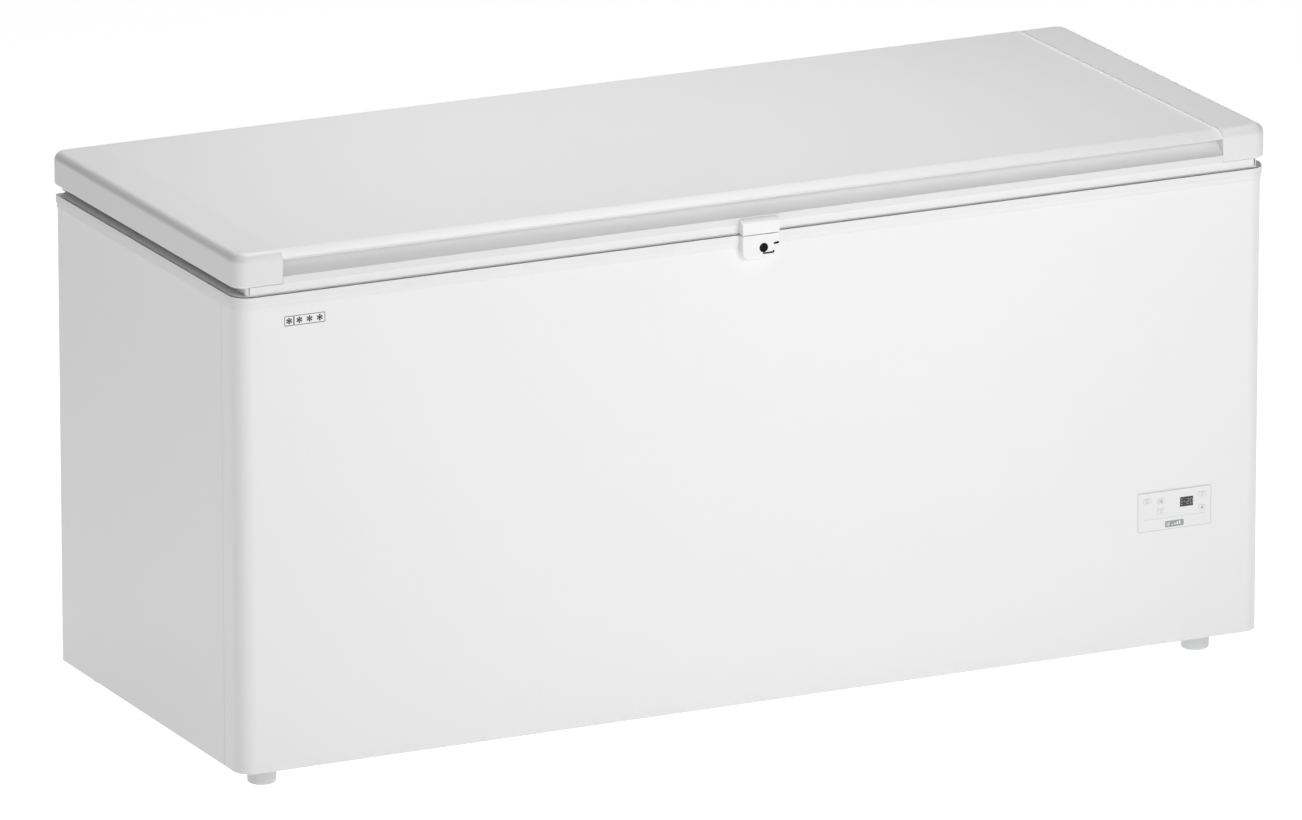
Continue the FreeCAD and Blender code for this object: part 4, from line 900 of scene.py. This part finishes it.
# ------------------------------------------------------------------ workshop
class Workshop:
    """Knows the frame, dresses its nodes and hands new pieces to their bodies."""

    def __init__(self, frame: dict[str, Any]) -> None:
        """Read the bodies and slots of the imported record."""
        record = frame["record"]
        self.nodes: dict[str, bpy.types.Object] = frame["nodes"]
        bodies = record["behaviour"]["bodies"]
        self.body_of = {node: body for body, names in bodies.items() for node in names}
        self.slot_of = {part["node"]: part["material_slot"] for part in record["subparts"]}
        self.done: set[str] = set()

    def paint(self, finish: Finish, *nodes: str) -> None:
        """Give frame nodes a finish and leave their shape."""
        for node in nodes:
            data = self.nodes[node].data
            data.materials.clear()
            data.materials.append(finish.material())
            self.done.add(node)

    def adopt(
        self, piece: bpy.types.Object, finish: Finish, body: str, slot: str,
        replaces: Sequence[str] = (),
    ) -> bpy.types.Object:
        """Give a new piece its finish and body.

        Args:
            piece: The finished object.
            finish: Its finish.
            body: The frame body that it moves with.
            slot: The record's material slot; not used.
            replaces: Frame nodes that it stands for.

        Returns:
            The same piece.
        """
        piece.data.materials.clear()
        piece.data.materials.append(finish.material())
        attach(piece, body)
        if replaces:
            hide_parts(*replaces)
            self.done.update(replaces)
        LOG.info("%s: %d faces on %s", piece.name, len(piece.data.polygons), body)
        return piece

    def print_on(
        self, ink: Print, name: str, face_y: float, finish: Finish, slot: str,
        body: str = "cabinet", thickness: float = PRINT_THICKNESS,
    ) -> None:
        """Make a print and hand it to its body.

        Args:
            ink: The drawn print.
            name: Name of the finished piece.
            face_y: Face that it stands on.
            finish: Its ink.
            slot: The record's material slot.
            body: The frame body that it moves with.
            thickness: How far it stands off the face.
        """
        self.adopt(ink.make(name, face_y, thickness), finish, body, slot)

    def dress(
        self, finish: Finish, node: str, width: float = 0.3 * MM, steps: int = 2,
        angle: float = FOLD_ANGLE,
    ) -> bpy.types.Object:
        """Stand a clean, softly edged copy in for a frame node.

        Args:
            finish: Finish of the copy.
            node: Name of the node.
            width: Reach of the rounding of its edges, in metres.
            steps: Faces across each rounding.
            angle: Edges that turn by more degrees than this are rounded.

        Returns:
            The copy.
        """
        return self.dress_together(finish, node + "_shell", [node], width, steps, angle)

    def dress_together(
        self, finish: Finish, name: str, nodes: Sequence[str], width: float, steps: int = 2,
        angle: float = FOLD_ANGLE,
    ) -> bpy.types.Object:
        """Stand one softly edged piece in for nodes that touch and move together.

        Args:
            finish: Finish of the piece.
            name: Name of the piece.
            nodes: Names of the nodes.
            width: Reach of the rounding of its edges, in metres.
            steps: Faces across each rounding.
            angle: Edges that turn by more degrees than this are rounded.

        Returns:
            The piece.
        """
        mesh = joined(name, [self.nodes[node].data for node in nodes])
        rounded(mesh, width, angle, steps)
        piece = link(name, mesh)
        even_normals(piece)
        return self.adopt(piece, finish, self.body_of[nodes[0]], self.slot_of[nodes[0]], nodes)


@dataclass
class SubAssembly(ABC):
    """A group of pieces that is made together."""

    shop: Workshop

    @abstractmethod
    def build(self) -> None:
        """Make and dress the pieces."""


# ------------------------------------------------------------------ cabinet
@dataclass
class Cabinet(SubAssembly):
    """Painted sheets, collar, covers, base and feet."""

    sheet_edge: float = 0.35 * MM
    collar_edge: float = 1.0 * MM
    mark_left: float = 76.0 * MM
    mark_below_rim: float = 42.5 * MM
    star_radius: float = 6.4
    star_pitch: float = 16.5

    def build(self) -> None:
        """Make and dress the pieces."""
        shop = self.shop
        for node in ("front_panel", "left_side_panel", "right_side_panel", "rear_panel"):
            shop.dress(Finishes.SHEET, node, self.sheet_edge)
        rails = ["collar_" + side for side in ("front", "rear", "left", "right")]
        shop.dress_together(Finishes.COLLAR, "collar_frame", rails, self.collar_edge, 3, 60.0)
        shop.dress(Finishes.GRILLE, "side_vent_grille", 0.4 * MM)
        shop.dress(Finishes.ZINC_SHEET, "rear_cover", 0.2 * MM)
        shop.dress(Finishes.BLACK, "power_inlet", 0.3 * MM)
        shop.dress(Finishes.ZINC_SHEET, "base_plate", 0.2 * MM)
        shop.dress(Finishes.ZINC_SHEET, "machine_base", 0.3 * MM)
        for node in ("foot_front_left", "foot_front_right", "rear_feet"):
            shop.dress(Finishes.PALE_GREY, node, 0.5 * MM, 2, 40.0)
        self.screws()
        self.star_mark()

    def screws(self) -> None:
        """Screw heads of the bay cover."""
        low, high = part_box("rear_cover_screws")
        head = 4.0 * MM
        points = [
            (x, high.y, z)
            for x in (low.x + head, high.x - head) for z in (low.z + head, high.z - head)
        ]
        piece = Fastener(head).place("bay_cover_screws", points, FACE_REAR, Finishes.ZINC)
        self.shop.paint(Finishes.ZINC, "rear_cover_screws")
        self.shop.adopt(piece, Finishes.ZINC, "cabinet", "zinc")

    def star_mark(self) -> None:
        """Freezer rating printed at the front's upper left: one star in a box and three more."""
        low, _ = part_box("front_panel")
        _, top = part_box("collar_front")
        size = 2 * self.star_radius + 1.6
        ink = Print(low.x + self.mark_left, top.z - self.mark_below_rim)
        first = size / 2
        ink.frame((first, 0), size, size, 1.2, 0.9)
        ink.flake((first, 0), self.star_radius * 0.8, 1.5)
        middle = first + size / 2 + self.star_pitch * 1.5 + 1.0
        ink.frame((middle, 0), self.star_pitch * 3, size, 1.2, 0.9)
        for index in (-1, 0, 1):
            ink.flake((middle + index * self.star_pitch, 0), self.star_radius * 0.8, 1.5)
        self.shop.print_on(ink, "rating_mark", low.y, Finishes.DARK_INK, "dark_window")


@dataclass
class Fastener:
    """Small pan-head screw that is set in many places by a tree."""

    radius: float
    height: float = 2.2 * MM
    rings: int = 4
    sides: int = 20

    def shape(self) -> bpy.types.Object:
        """One rounded head, standing on z = 0."""
        work = bmesh.new()
        loops = []
        for ring in range(self.rings + 1):
            turn = math.pi / 2 * ring / self.rings
            r = self.radius * (0.35 + 0.65 * math.cos(turn))
            z = self.height * math.sin(turn)
            loops.append([
                work.verts.new((r * math.cos(a), r * math.sin(a), z))
                for a in (2 * math.pi * i / self.sides for i in range(self.sides))
            ])
        for lower, upper in zip(loops, loops[1:]):
            for i in range(self.sides):
                j = (i + 1) % self.sides
                work.faces.new((lower[i], lower[j], upper[j], upper[i]))
        work.faces.new(loops[-1])
        work.faces.new(loops[0][::-1])
        mesh = bpy.data.meshes.new("screw_head")
        work.to_mesh(mesh)
        work.free()
        return link("screw_head", mesh)

    def place(
        self, name: str, points: Sequence[Sequence[float]], turn: Spot, finish: Finish
    ) -> bpy.types.Object:
        """Set the head on every point.

        Args:
            name: Name of the finished piece.
            points: Where the heads stand.
            turn: Euler angles that turn +Z to the way the heads look.
            finish: Their finish.

        Returns:
            One mesh of all heads.
        """
        part = self.shape()
        carrier = raw_mesh(name + "_points", points)
        sizes = {"Part": part, "Turn": turn, "Material": finish.material()}
        piece = repeat_tree().run(name, carrier, sizes)
        bpy.data.objects.remove(part)
        return piece


# ------------------------------------------------------------------ tank and cold circuit
@dataclass
class Tank(SubAssembly):
    """Liner, foam, coils and drain."""

    def build(self) -> None:
        """Make and dress the pieces."""
        shop = self.shop
        shop.dress(Finishes.LINER, "liner_wall", 0.2 * MM)
        shop.dress(Finishes.LINER, "liner_floor", 0.2 * MM)
        walls = ("front", "rear", "left", "right", "floor", "step")
        shop.paint(Finishes.FOAM, *("insulation_" + wall for wall in walls))
        shop.paint(Finishes.COPPER, "evaporator_coil", "condenser_coil")
        shop.dress(Finishes.PALE_GREY, "drain_pipe", 0.3 * MM)
        shop.dress(Finishes.PALE_GREY, "drain_plug", 0.8 * MM, 3)


@dataclass
class MachineBay(SubAssembly):
    """Compressor and what is piped to it."""

    def build(self) -> None:
        """Make and dress the pieces."""
        shop = self.shop
        shop.dress(Finishes.POT, "compressor", 0.8 * MM, 2, 40.0)
        shop.dress(Finishes.BLACK, "start_relay", 0.8 * MM)
        shop.dress(Finishes.COPPER, "filter_drier", 0.0)
        shop.dress(Finishes.COPPER, "refrigerant_lines", 0.0)
        shop.dress(Finishes.BLACK_RUBBER, "compressor_grommets", 0.8 * MM)
        shop.dress(Finishes.ZINC, "compressor_bolts", 0.4 * MM)


# ------------------------------------------------------------------ controls
@dataclass
class Controls(SubAssembly):
    """Fascia with its print, keys, display and board."""

    outline: float = 0.5
    margin: float = 0.7
    divider_up: float = 19.0
    divider_reach: float = 53.0
    divider_line: float = 0.3
    badge: tuple[float, float] = (31.8, 9.8)
    badge_up: float = 8.6
    bars: int = 4
    bar_left: float = -3.5
    bar_pitch: float = 4.2
    bar_foot: float = -2.2
    bar_step: float = 1.4
    bar_line: float = 2.4
    stroke: float = 0.55

    def build(self) -> None:
        """Make and dress the pieces."""
        shop = self.shop
        shop.dress(Finishes.FASCIA, "control_fascia", 0.25 * MM)
        shop.dress(Finishes.CASE, "control_housing", 0.3 * MM)
        shop.dress(Finishes.BOARD, "control_board", 0.1 * MM)
        shop.dress(Finishes.WINDOW, "display_window", 0.15 * MM)
        for node in ("key_alarm", "key_fast_freeze", "key_set", "key_power", "key_child_lock"):
            shop.dress(Finishes.KEY, node, 0.3 * MM, 3)
        self.panel_print()
        self.key_prints()
        self.display_print()

    def panel_print(self) -> None:
        """Outline, divider and badge on the fascia."""
        low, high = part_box("control_fascia")
        middle = (low.x + high.x) / 2
        width, height = (high.x - low.x) / MM, (high.z - low.z) / MM
        ink = Print(middle, low.z)
        inset = 2 * self.margin
        ink.frame((0, height / 2), width - inset, height - inset, 2.0, self.outline)
        reach, up = self.divider_reach, self.divider_up
        ink.stroke((-reach, up), (reach, up), self.divider_line)
        self.shop.print_on(ink, "panel_outline", low.y, Finishes.FAINT_INK, "white_plastic")
        badge = Print(middle, low.z).slab((0, self.badge_up), *self.badge, 1.6)
        self.shop.print_on(badge, "panel_badge", low.y, Finishes.GREY_INK, "grey_plastic")
        sign = Print(middle, low.z + self.badge_up * MM)
        sign.flake((-10.5, 0), 3.2, 0.7)
        for index in range(self.bars):
            x = self.bar_left + self.bar_pitch * index
            top = self.bar_foot + self.bar_step * (index + 1)
            sign.stroke((x, self.bar_foot), (x, top), self.bar_line)
        face = low.y - PRINT_THICKNESS
        self.shop.print_on(sign, "panel_badge_sign", face, Finishes.PALE_INK, "grey_plastic")

    def key_prints(self) -> None:
        """Symbols on the keys."""
        w = self.stroke
        drawings = {
            "key_alarm": lambda p: p.arc((0, 0.2), 1.7, w, 0, 180)
            .line([(-1.7, 0.2), (-2.2, -1.6), (2.2, -1.6), (1.7, 0.2)], w).disc((0, -2.3), 0.6),
            "key_fast_freeze": lambda p: p.flake((0, 0), 2.9, w),
            "key_set": lambda p: p.line([(-2.0, 0.6), (0, 2.4), (2.0, 0.6)], w)
            .line([(-2.0, -0.6), (0, -2.4), (2.0, -0.6)], w),
            "key_power": lambda p: p.arc((0, -0.2), 2.0, w, 120, 420)
            .stroke((0, 0.2), (0, 2.6), w),
            "key_child_lock": lambda p: p.slab((0, -0.8), 3.8, 2.8, 0.4)
            .arc((0, 0.7), 1.2, w, 0, 180),
        }
        for node, draw in drawings.items():
            low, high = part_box(node)
            ink = Print((low.x + high.x) / 2, (low.z + high.z) / 2)
            draw(ink)
            name = node.replace("key_", "symbol_")
            self.shop.print_on(
                ink, name, low.y, Finishes.FAINT_INK, "grey_plastic", node, THIN_PRINT
            )

    def display_print(self) -> None:
        """Lit digits and three lamps behind the window."""
        low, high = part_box("display_window")
        lamp = Print((low.x + high.x) / 2, (low.z + high.z) / 2)
        for index in (-1, 0, 1):
            lamp.slab((-8.3, index * 4.2), 2.2, 1.2, 0.3)
        lamp.stroke((-5.0, 0), (-2.6, 0), 0.8)
        for x, lit in ((0.6, "abged"), (6.4, "abcdef")):
            self.digit(lamp, x, lit)
        self.shop.print_on(
            lamp, "display_digits", low.y, Finishes.LAMP, "grey_plastic", thickness=THIN_PRINT
        )

    @staticmethod
    def digit(lamp: Print, x: float, lit: str) -> None:
        """Draw one seven-segment digit.

        Args:
            lamp: Print that takes the strokes.
            x: Middle of the digit's left edge.
            lit: Letters of the lit segments.
        """
        w, h, line = 3.6, 3.9, 0.75
        cut = line * 0.6
        segments = {
            "a": ((x + cut, h), (x + w - cut, h)), "g": ((x + cut, 0), (x + w - cut, 0)),
            "d": ((x + cut, -h), (x + w - cut, -h)), "f": ((x, cut), (x, h - cut)),
            "e": ((x, -h + cut), (x, -cut)), "b": ((x + w, cut), (x + w, h - cut)),
            "c": ((x + w, -h + cut), (x + w, -cut)),
        }
        for letter in lit:
            lamp.stroke(*segments[letter], line)


# ------------------------------------------------------------------ lock
@dataclass
class Lock(SubAssembly):
    """Lock case, barrel, catch and the black dash and bar beside the barrel."""

    dash: tuple[Point, Point] = ((16.2, 4.9), (21.8, 5.7))
    mark_line: float = 3.4
    bar_down: float = -8.6
    bar_left: float = -3.0
    bar_right: float = 14.5
    bar_line: float = 2.8
    tick_height: float = 3.2

    def build(self) -> None:
        """Make and dress the pieces."""
        shop = self.shop
        shop.dress(Finishes.LATCH, "lock_housing", 0.5 * MM, 2, 40.0)
        shop.dress(Finishes.BARREL, "lock_cylinder", 0.3 * MM)
        shop.dress(Finishes.LATCH, "lid_catch", 1.2 * MM, 3)
        self.marks()

    def marks(self) -> None:
        """A black dash to the upper right of the barrel and a black bar with a small upward tick
        below it.
        """
        low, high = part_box("lock_cylinder")
        case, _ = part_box("lock_housing")
        ink = Print((low.x + high.x) / 2, (low.z + high.z) / 2)
        for end in self.dash:
            ink.disc(end, self.mark_line / 2)
        ink.stroke(*self.dash, self.mark_line)
        corner = (self.bar_right, self.bar_down)
        tick = (self.bar_right, self.bar_down + self.tick_height)
        ink.line([(self.bar_left, self.bar_down), corner, tick], self.bar_line)
        # Black ink dash and ticked bar drawn on the lock case beside the barrel
        self.shop.print_on(ink, "turn_marks", case.y, Finishes.BLACK_INK, "black_plastic")


# ------------------------------------------------------------------ hinges
@dataclass
class Hinges(SubAssembly):
    """Hinge brackets, pins, springs, leaves and their screws."""

    plate_height: float = 110.0 * MM
    plate: float = 3.0 * MM
    half_base: float = 30.0 * MM
    screw_radius: float = 4.5 * MM
    screws_below: tuple[float, ...] = (20.0 * MM, 55.0 * MM, 90.0 * MM)

    def build(self) -> None:
        """Make and dress the pieces."""
        shop = self.shop
        shop.dress(Finishes.BRACKET, "hinge_bases", 0.4 * MM, 2, 50.0)
        shop.dress(Finishes.ZINC, "hinge_pins", 0.3 * MM)
        shop.dress(Finishes.SPRING, "hinge_springs", 0.0)
        shop.dress(Finishes.BRACKET, "lid_hinge_leaves", 0.2 * MM, 2, 50.0)
        low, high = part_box("hinge_bases")
        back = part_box("rear_panel")[1].y
        points = [
            (x, back + self.plate, low.z + self.plate_height - down)
            for x in (low.x + self.half_base, high.x - self.half_base) for down in self.screws_below
        ]
        piece = Fastener(self.screw_radius).place("hinge_screws", points, FACE_REAR, Finishes.ZINC)
        shop.adopt(piece, Finishes.ZINC, "cabinet", "zinc")


# ------------------------------------------------------------------ lid
@dataclass
class Lid(SubAssembly):
    """Caps, grip profile, top sheet, tray, core and seal."""

    seal_width: float = 26.0 * MM
    seal_bend: float = 15.0 * MM
    seal_rib: float = 4.0 * MM

    def build(self) -> None:
        """Make and dress the pieces."""
        shop = self.shop
        for side in ("left", "right"):
            shop.dress(Finishes.CAP, f"lid_{side}_cap", 0.8 * MM, 3, 34.0)
        shop.dress(Finishes.GRIP, "lid_front_profile", 0.6 * MM, 2, 20.0)
        shop.dress(Finishes.LID_SHEET, "lid_top_panel", 0.3 * MM)
        shop.dress(Finishes.TRAY, "lid_inner_tray", 0.8 * MM, 3)
        shop.paint(Finishes.FOAM, "lid_insulation")
        self.seal()

    def seal(self) -> None:
        """Ribbed vinyl seal between the tray and the collar."""
        low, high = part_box("lid_gasket")
        tall = high.z - low.z
        half, step = self.seal_width / 2, tall * 0.25
        rib = half - self.seal_rib
        right = [
            (rib - step, 0.0), (rib - step * 0.5, -step),
            (rib + step * 0.5, -step), (rib + step, 0.0),
            (half - step, 0.0), (half, -step), (half, -3 * step), (half - step, -tall),
        ]
        section = right + [(-x, z) for x, z in reversed(right)]
        shape = paths_mesh("seal_section", [([(x, z, 0.0) for x, z in section], True)])
        x0, x1 = low.x + half, high.x - half
        y0, y1 = low.y + half, high.y - half
        loop = [(x0, y0, high.z), (x1, y0, high.z), (x1, y1, high.z), (x0, y1, high.z)]
        vinyl = Finishes.GASKET.material()
        sizes = {"Bend radius": self.seal_bend, "Section": shape, "Material": vinyl}
        piece = section_tree().run("lid_seal", paths_mesh("seal_path", [(loop, True)]), sizes)
        bpy.data.objects.remove(shape)
        self.shop.adopt(piece, Finishes.GASKET, "lid", "rubber_grey", ["lid_gasket"])


# ------------------------------------------------------------------ baskets
@dataclass
class Basket:
    """Sizes and wires of one hanging basket."""

    low: Vector
    high: Vector
    taper: float = 12.0 * MM
    lug: float = 15.0 * MM
    hook_height: float = 5.0 * MM
    wire: float = 1.6 * MM
    rim: float = 2.4 * MM
    corner: float = 18.0 * MM
    pitch: float = 27.0 * MM
    rings: int = 6

    def outline(self, z: float, inset: float) -> tuple[float, float, float, float]:
        """Plan limits of the tapered wall at a height, drawn in by an inset."""
        share = (self.high.z - z) / (self.high.z - self.low.z)
        draw = self.taper * share + inset
        return (
            self.low.x + draw, self.high.x - draw,
            self.low.y + self.lug + draw, self.high.y - self.lug - draw,
        )

    def ring(self, z: float, inset: float) -> list[Spot]:
        """Closed rectangle round the basket at a height."""
        x0, x1, y0, y1 = self.outline(z, inset)
        return [(x0, y0, z), (x1, y0, z), (x1, y1, z), (x0, y1, z)]

    def thin_paths(self) -> list[Path]:
        """Rings and the two sets of bent wires under them."""
        top = self.high.z - self.rim
        floor = self.low.z + self.wire
        rings = [top - (top - floor - 10 * MM) * (i + 1) / self.rings for i in range(self.rings)]
        paths = [(self.ring(z, 3 * self.wire), True) for z in rings]
        tx0, tx1, ty0, ty1 = self.outline(top, self.wire)
        bx0, bx1, by0, by1 = self.outline(floor, self.wire)
        for x in self.spread(bx0, bx1):
            paths.append(([(x, ty0, top), (x, by0, floor), (x, by1, floor), (x, ty1, top)], False))
        lift = 2 * self.wire
        for y in self.spread(by0, by1):
            paths.append((
                [(tx0, y, top), (bx0, y, floor + lift), (bx1, y, floor + lift), (tx1, y, top)],
                False,
            ))
        return paths

    def spread(self, start: float, end: float) -> list[float]:
        """Even places about a pitch apart, clear of the corners."""
        first, last = start + self.corner, end - self.corner
        count = max(2, round((last - first) / self.pitch) + 1)
        return [first + (last - first) * i / (count - 1) for i in range(count)]

    def thick_paths(self) -> list[Path]:
        """Rim and the two hooked runners that slide on the collar's ledges."""
        top = self.high.z - self.rim
        rest = self.high.z - self.hook_height + self.rim
        paths = [(self.ring(top, self.rim), True)]
        x0, x1, y0, y1 = self.outline(top, self.rim)
        inset = self.corner + 6 * MM
        for wall, edge in ((y0, self.low.y + self.rim), (y1, self.high.y - self.rim)):
            near, far = x0 + inset, x1 - inset
            paths.append((
                [(near, wall, top), (near, edge, rest), (far, edge, rest), (far, wall, top)], False
            ))
        return paths


@dataclass
class Baskets(SubAssembly):
    """Two coated wire baskets."""

    def build(self) -> None:
        """Make and dress the pieces."""
        tree = wire_tree()
        for side in ("left", "right"):
            node = "basket_" + side
            basket = Basket(*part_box(node))
            material = Finishes.WIRE.material()
            thin = tree.run(node + "_mesh", paths_mesh(node + "_thin", basket.thin_paths()), {
                "Wire radius": basket.wire, "Bend radius": basket.corner, "Sides": 8,
                "Material": material,
            })
            thick = tree.run(node + "_rim", paths_mesh(node + "_thick", basket.thick_paths()), {
                "Wire radius": basket.rim, "Bend radius": basket.corner * 0.6, "Sides": 10,
                "Material": material,
            })
            self.shop.adopt(thin, Finishes.WIRE, node, "basket_wire", [node])
            self.shop.adopt(thick, Finishes.WIRE, node, "basket_wire", [node])


# ------------------------------------------------------------------ studio
@dataclass(frozen=True)
class StudioWhite(Finish):
    """Pale floor that is lit a little from below."""

    glow: float = 1.9

    def build(self, tree: ShaderTree) -> bpy.types.Material:
        """Fill the tree and return its material."""
        at = tree.place()
        cloud = tree.noise(at, 2.5, 2.0)
        colour = tree.blend(cloud, self.colour, self.shade(0.99))
        return tree.surface(
            base_color=colour, roughness=cloud * 0.05 + 0.85, emission_color=colour,
            emission_strength=self.glow, specular_ior_level=0.1,
        )


@dataclass(frozen=True)
class SoftBox:
    """A large rectangular light that looks at a point."""

    name: str
    place: Spot
    aim: Spot
    width: float
    height: float
    power: float

    def hang(self) -> None:
        """Put the light in the scene."""
        data = bpy.data.lights.new(self.name, "AREA")
        data.shape = "RECTANGLE"
        data.size, data.size_y = self.width, self.height
        data.energy = self.power
        lamp = bpy.data.objects.new(self.name, data)
        bpy.context.scene.collection.objects.link(lamp)
        lamp.visible_camera = False
        lamp.location = self.place
        ahead = Vector(self.aim) - Vector(self.place)
        lamp.rotation_euler = ahead.to_track_quat("-Z", "Y").to_euler()


@dataclass
class Studio:
    """Floor, sky, lights and camera."""

    floor_radius: float = 90.0
    sky_low: float = 0.03
    sky_high: float = 0.01
    azimuth: float = -25.931
    elevation: float = 16.068
    distance: float = 22.761
    lens: float = 415.8
    aim: Spot = (-0.0166, 0.0064, -0.0137)
    lights: tuple[SoftBox, ...] = field(default_factory=lambda: (
        SoftBox("front_right", (1.0, -2.7, 1.2), (0.45, -0.33, 0.55), 1.2, 1.0, 4.8),
        SoftBox("front_left", (-0.6, -2.8, 1.0), (-0.3, -0.33, 0.5), 1.2, 1.0, 5.3),
        SoftBox("front_high", (0.45, -2.35, 1.75), (0.2, -0.33, 0.7), 0.9, 0.8, 20.5),
        SoftBox("top", (0.2, 0.2, 2.8), (0.15, 0.0, 0.8), 1.6, 1.0, 38.5),
        SoftBox("top_rear", (0.0, 2.0, 2.2), (0.1, 0.2, 0.8), 1.6, 1.0, 9.4),
        SoftBox("left_high", (-2.0, -1.0, 2.5), (-0.6, 0.0, 0.8), 1.0, 1.0, 11.0),
    ))

    def build(self) -> None:
        """Set up the studio round the object."""
        scene = bpy.context.scene
        scene.view_settings.view_transform = "Standard"
        self.floor()
        self.sky()
        for light in self.lights:
            light.hang()
        self.camera()

    def floor(self) -> None:
        """Round floor just under the feet."""
        sides = 96
        points = [
            (self.floor_radius * math.cos(t), self.floor_radius * math.sin(t), 0.0)
            for t in (2 * math.pi * i / sides for i in range(sides))
        ]
        piece = raw_mesh("studio_floor", points, faces=[list(range(sides))])
        piece.data.materials.append(StudioWhite("studio_white", (0.5, 0.5, 0.5)).material())
        piece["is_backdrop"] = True

    def sky(self) -> None:
        """Plain sky that is a little brighter near the floor."""
        world = bpy.data.worlds.new("studio_sky")
        bpy.context.scene.world = world
        world.use_nodes = True
        tree = world.node_tree
        tree.nodes.clear()
        place = tree.nodes.new("ShaderNodeTexCoord")
        split = tree.nodes.new("ShaderNodeSeparateXYZ")
        ramp = tree.nodes.new("ShaderNodeValToRGB")
        back = tree.nodes.new("ShaderNodeBackground")
        out = tree.nodes.new("ShaderNodeOutputWorld")
        ramp.color_ramp.elements[0].color = (self.sky_low,) * 3 + (1.0,)
        ramp.color_ramp.elements[1].color = (self.sky_high,) * 3 + (1.0,)
        tree.links.new(place.outputs["Generated"], split.inputs[0])
        tree.links.new(split.outputs["Z"], ramp.inputs[0])
        tree.links.new(ramp.outputs[0], back.inputs["Color"])
        tree.links.new(back.outputs[0], out.inputs["Surface"])

    def camera(self) -> None:
        """Long-lens camera to the front left and above."""
        low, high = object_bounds()
        target = (low + high) / 2 + Vector(self.aim)
        turn, rise = math.radians(self.azimuth), math.radians(self.elevation)
        level = math.cos(rise)
        back = Vector((math.sin(turn) * level, -math.cos(turn) * level, math.sin(rise)))
        data = bpy.data.cameras.new("camera")
        data.lens = self.lens
        data.clip_end = 200.0
        camera = bpy.data.objects.new("camera", data)
        bpy.context.scene.collection.objects.link(camera)
        camera.location = target + back * self.distance
        camera.rotation_euler = (-back).to_track_quat("-Z", "Y").to_euler()
        bpy.context.scene.camera = camera


def main() -> None:
    """Build the freezer and its studio."""
    logging.basicConfig(level=logging.INFO, format="%(message)s")
    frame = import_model()
    shop = Workshop(frame)
    Studio().build()
    for assembly in (Cabinet, Tank, MachineBay, Controls, Lock, Hinges, Lid, Baskets):
        LOG.info("building %s", assembly.__name__)
        assembly(shop).build()
    bare = sorted(set(shop.nodes) - shop.done)
    assert not bare, bare


if __name__ == "__main__":
    main()
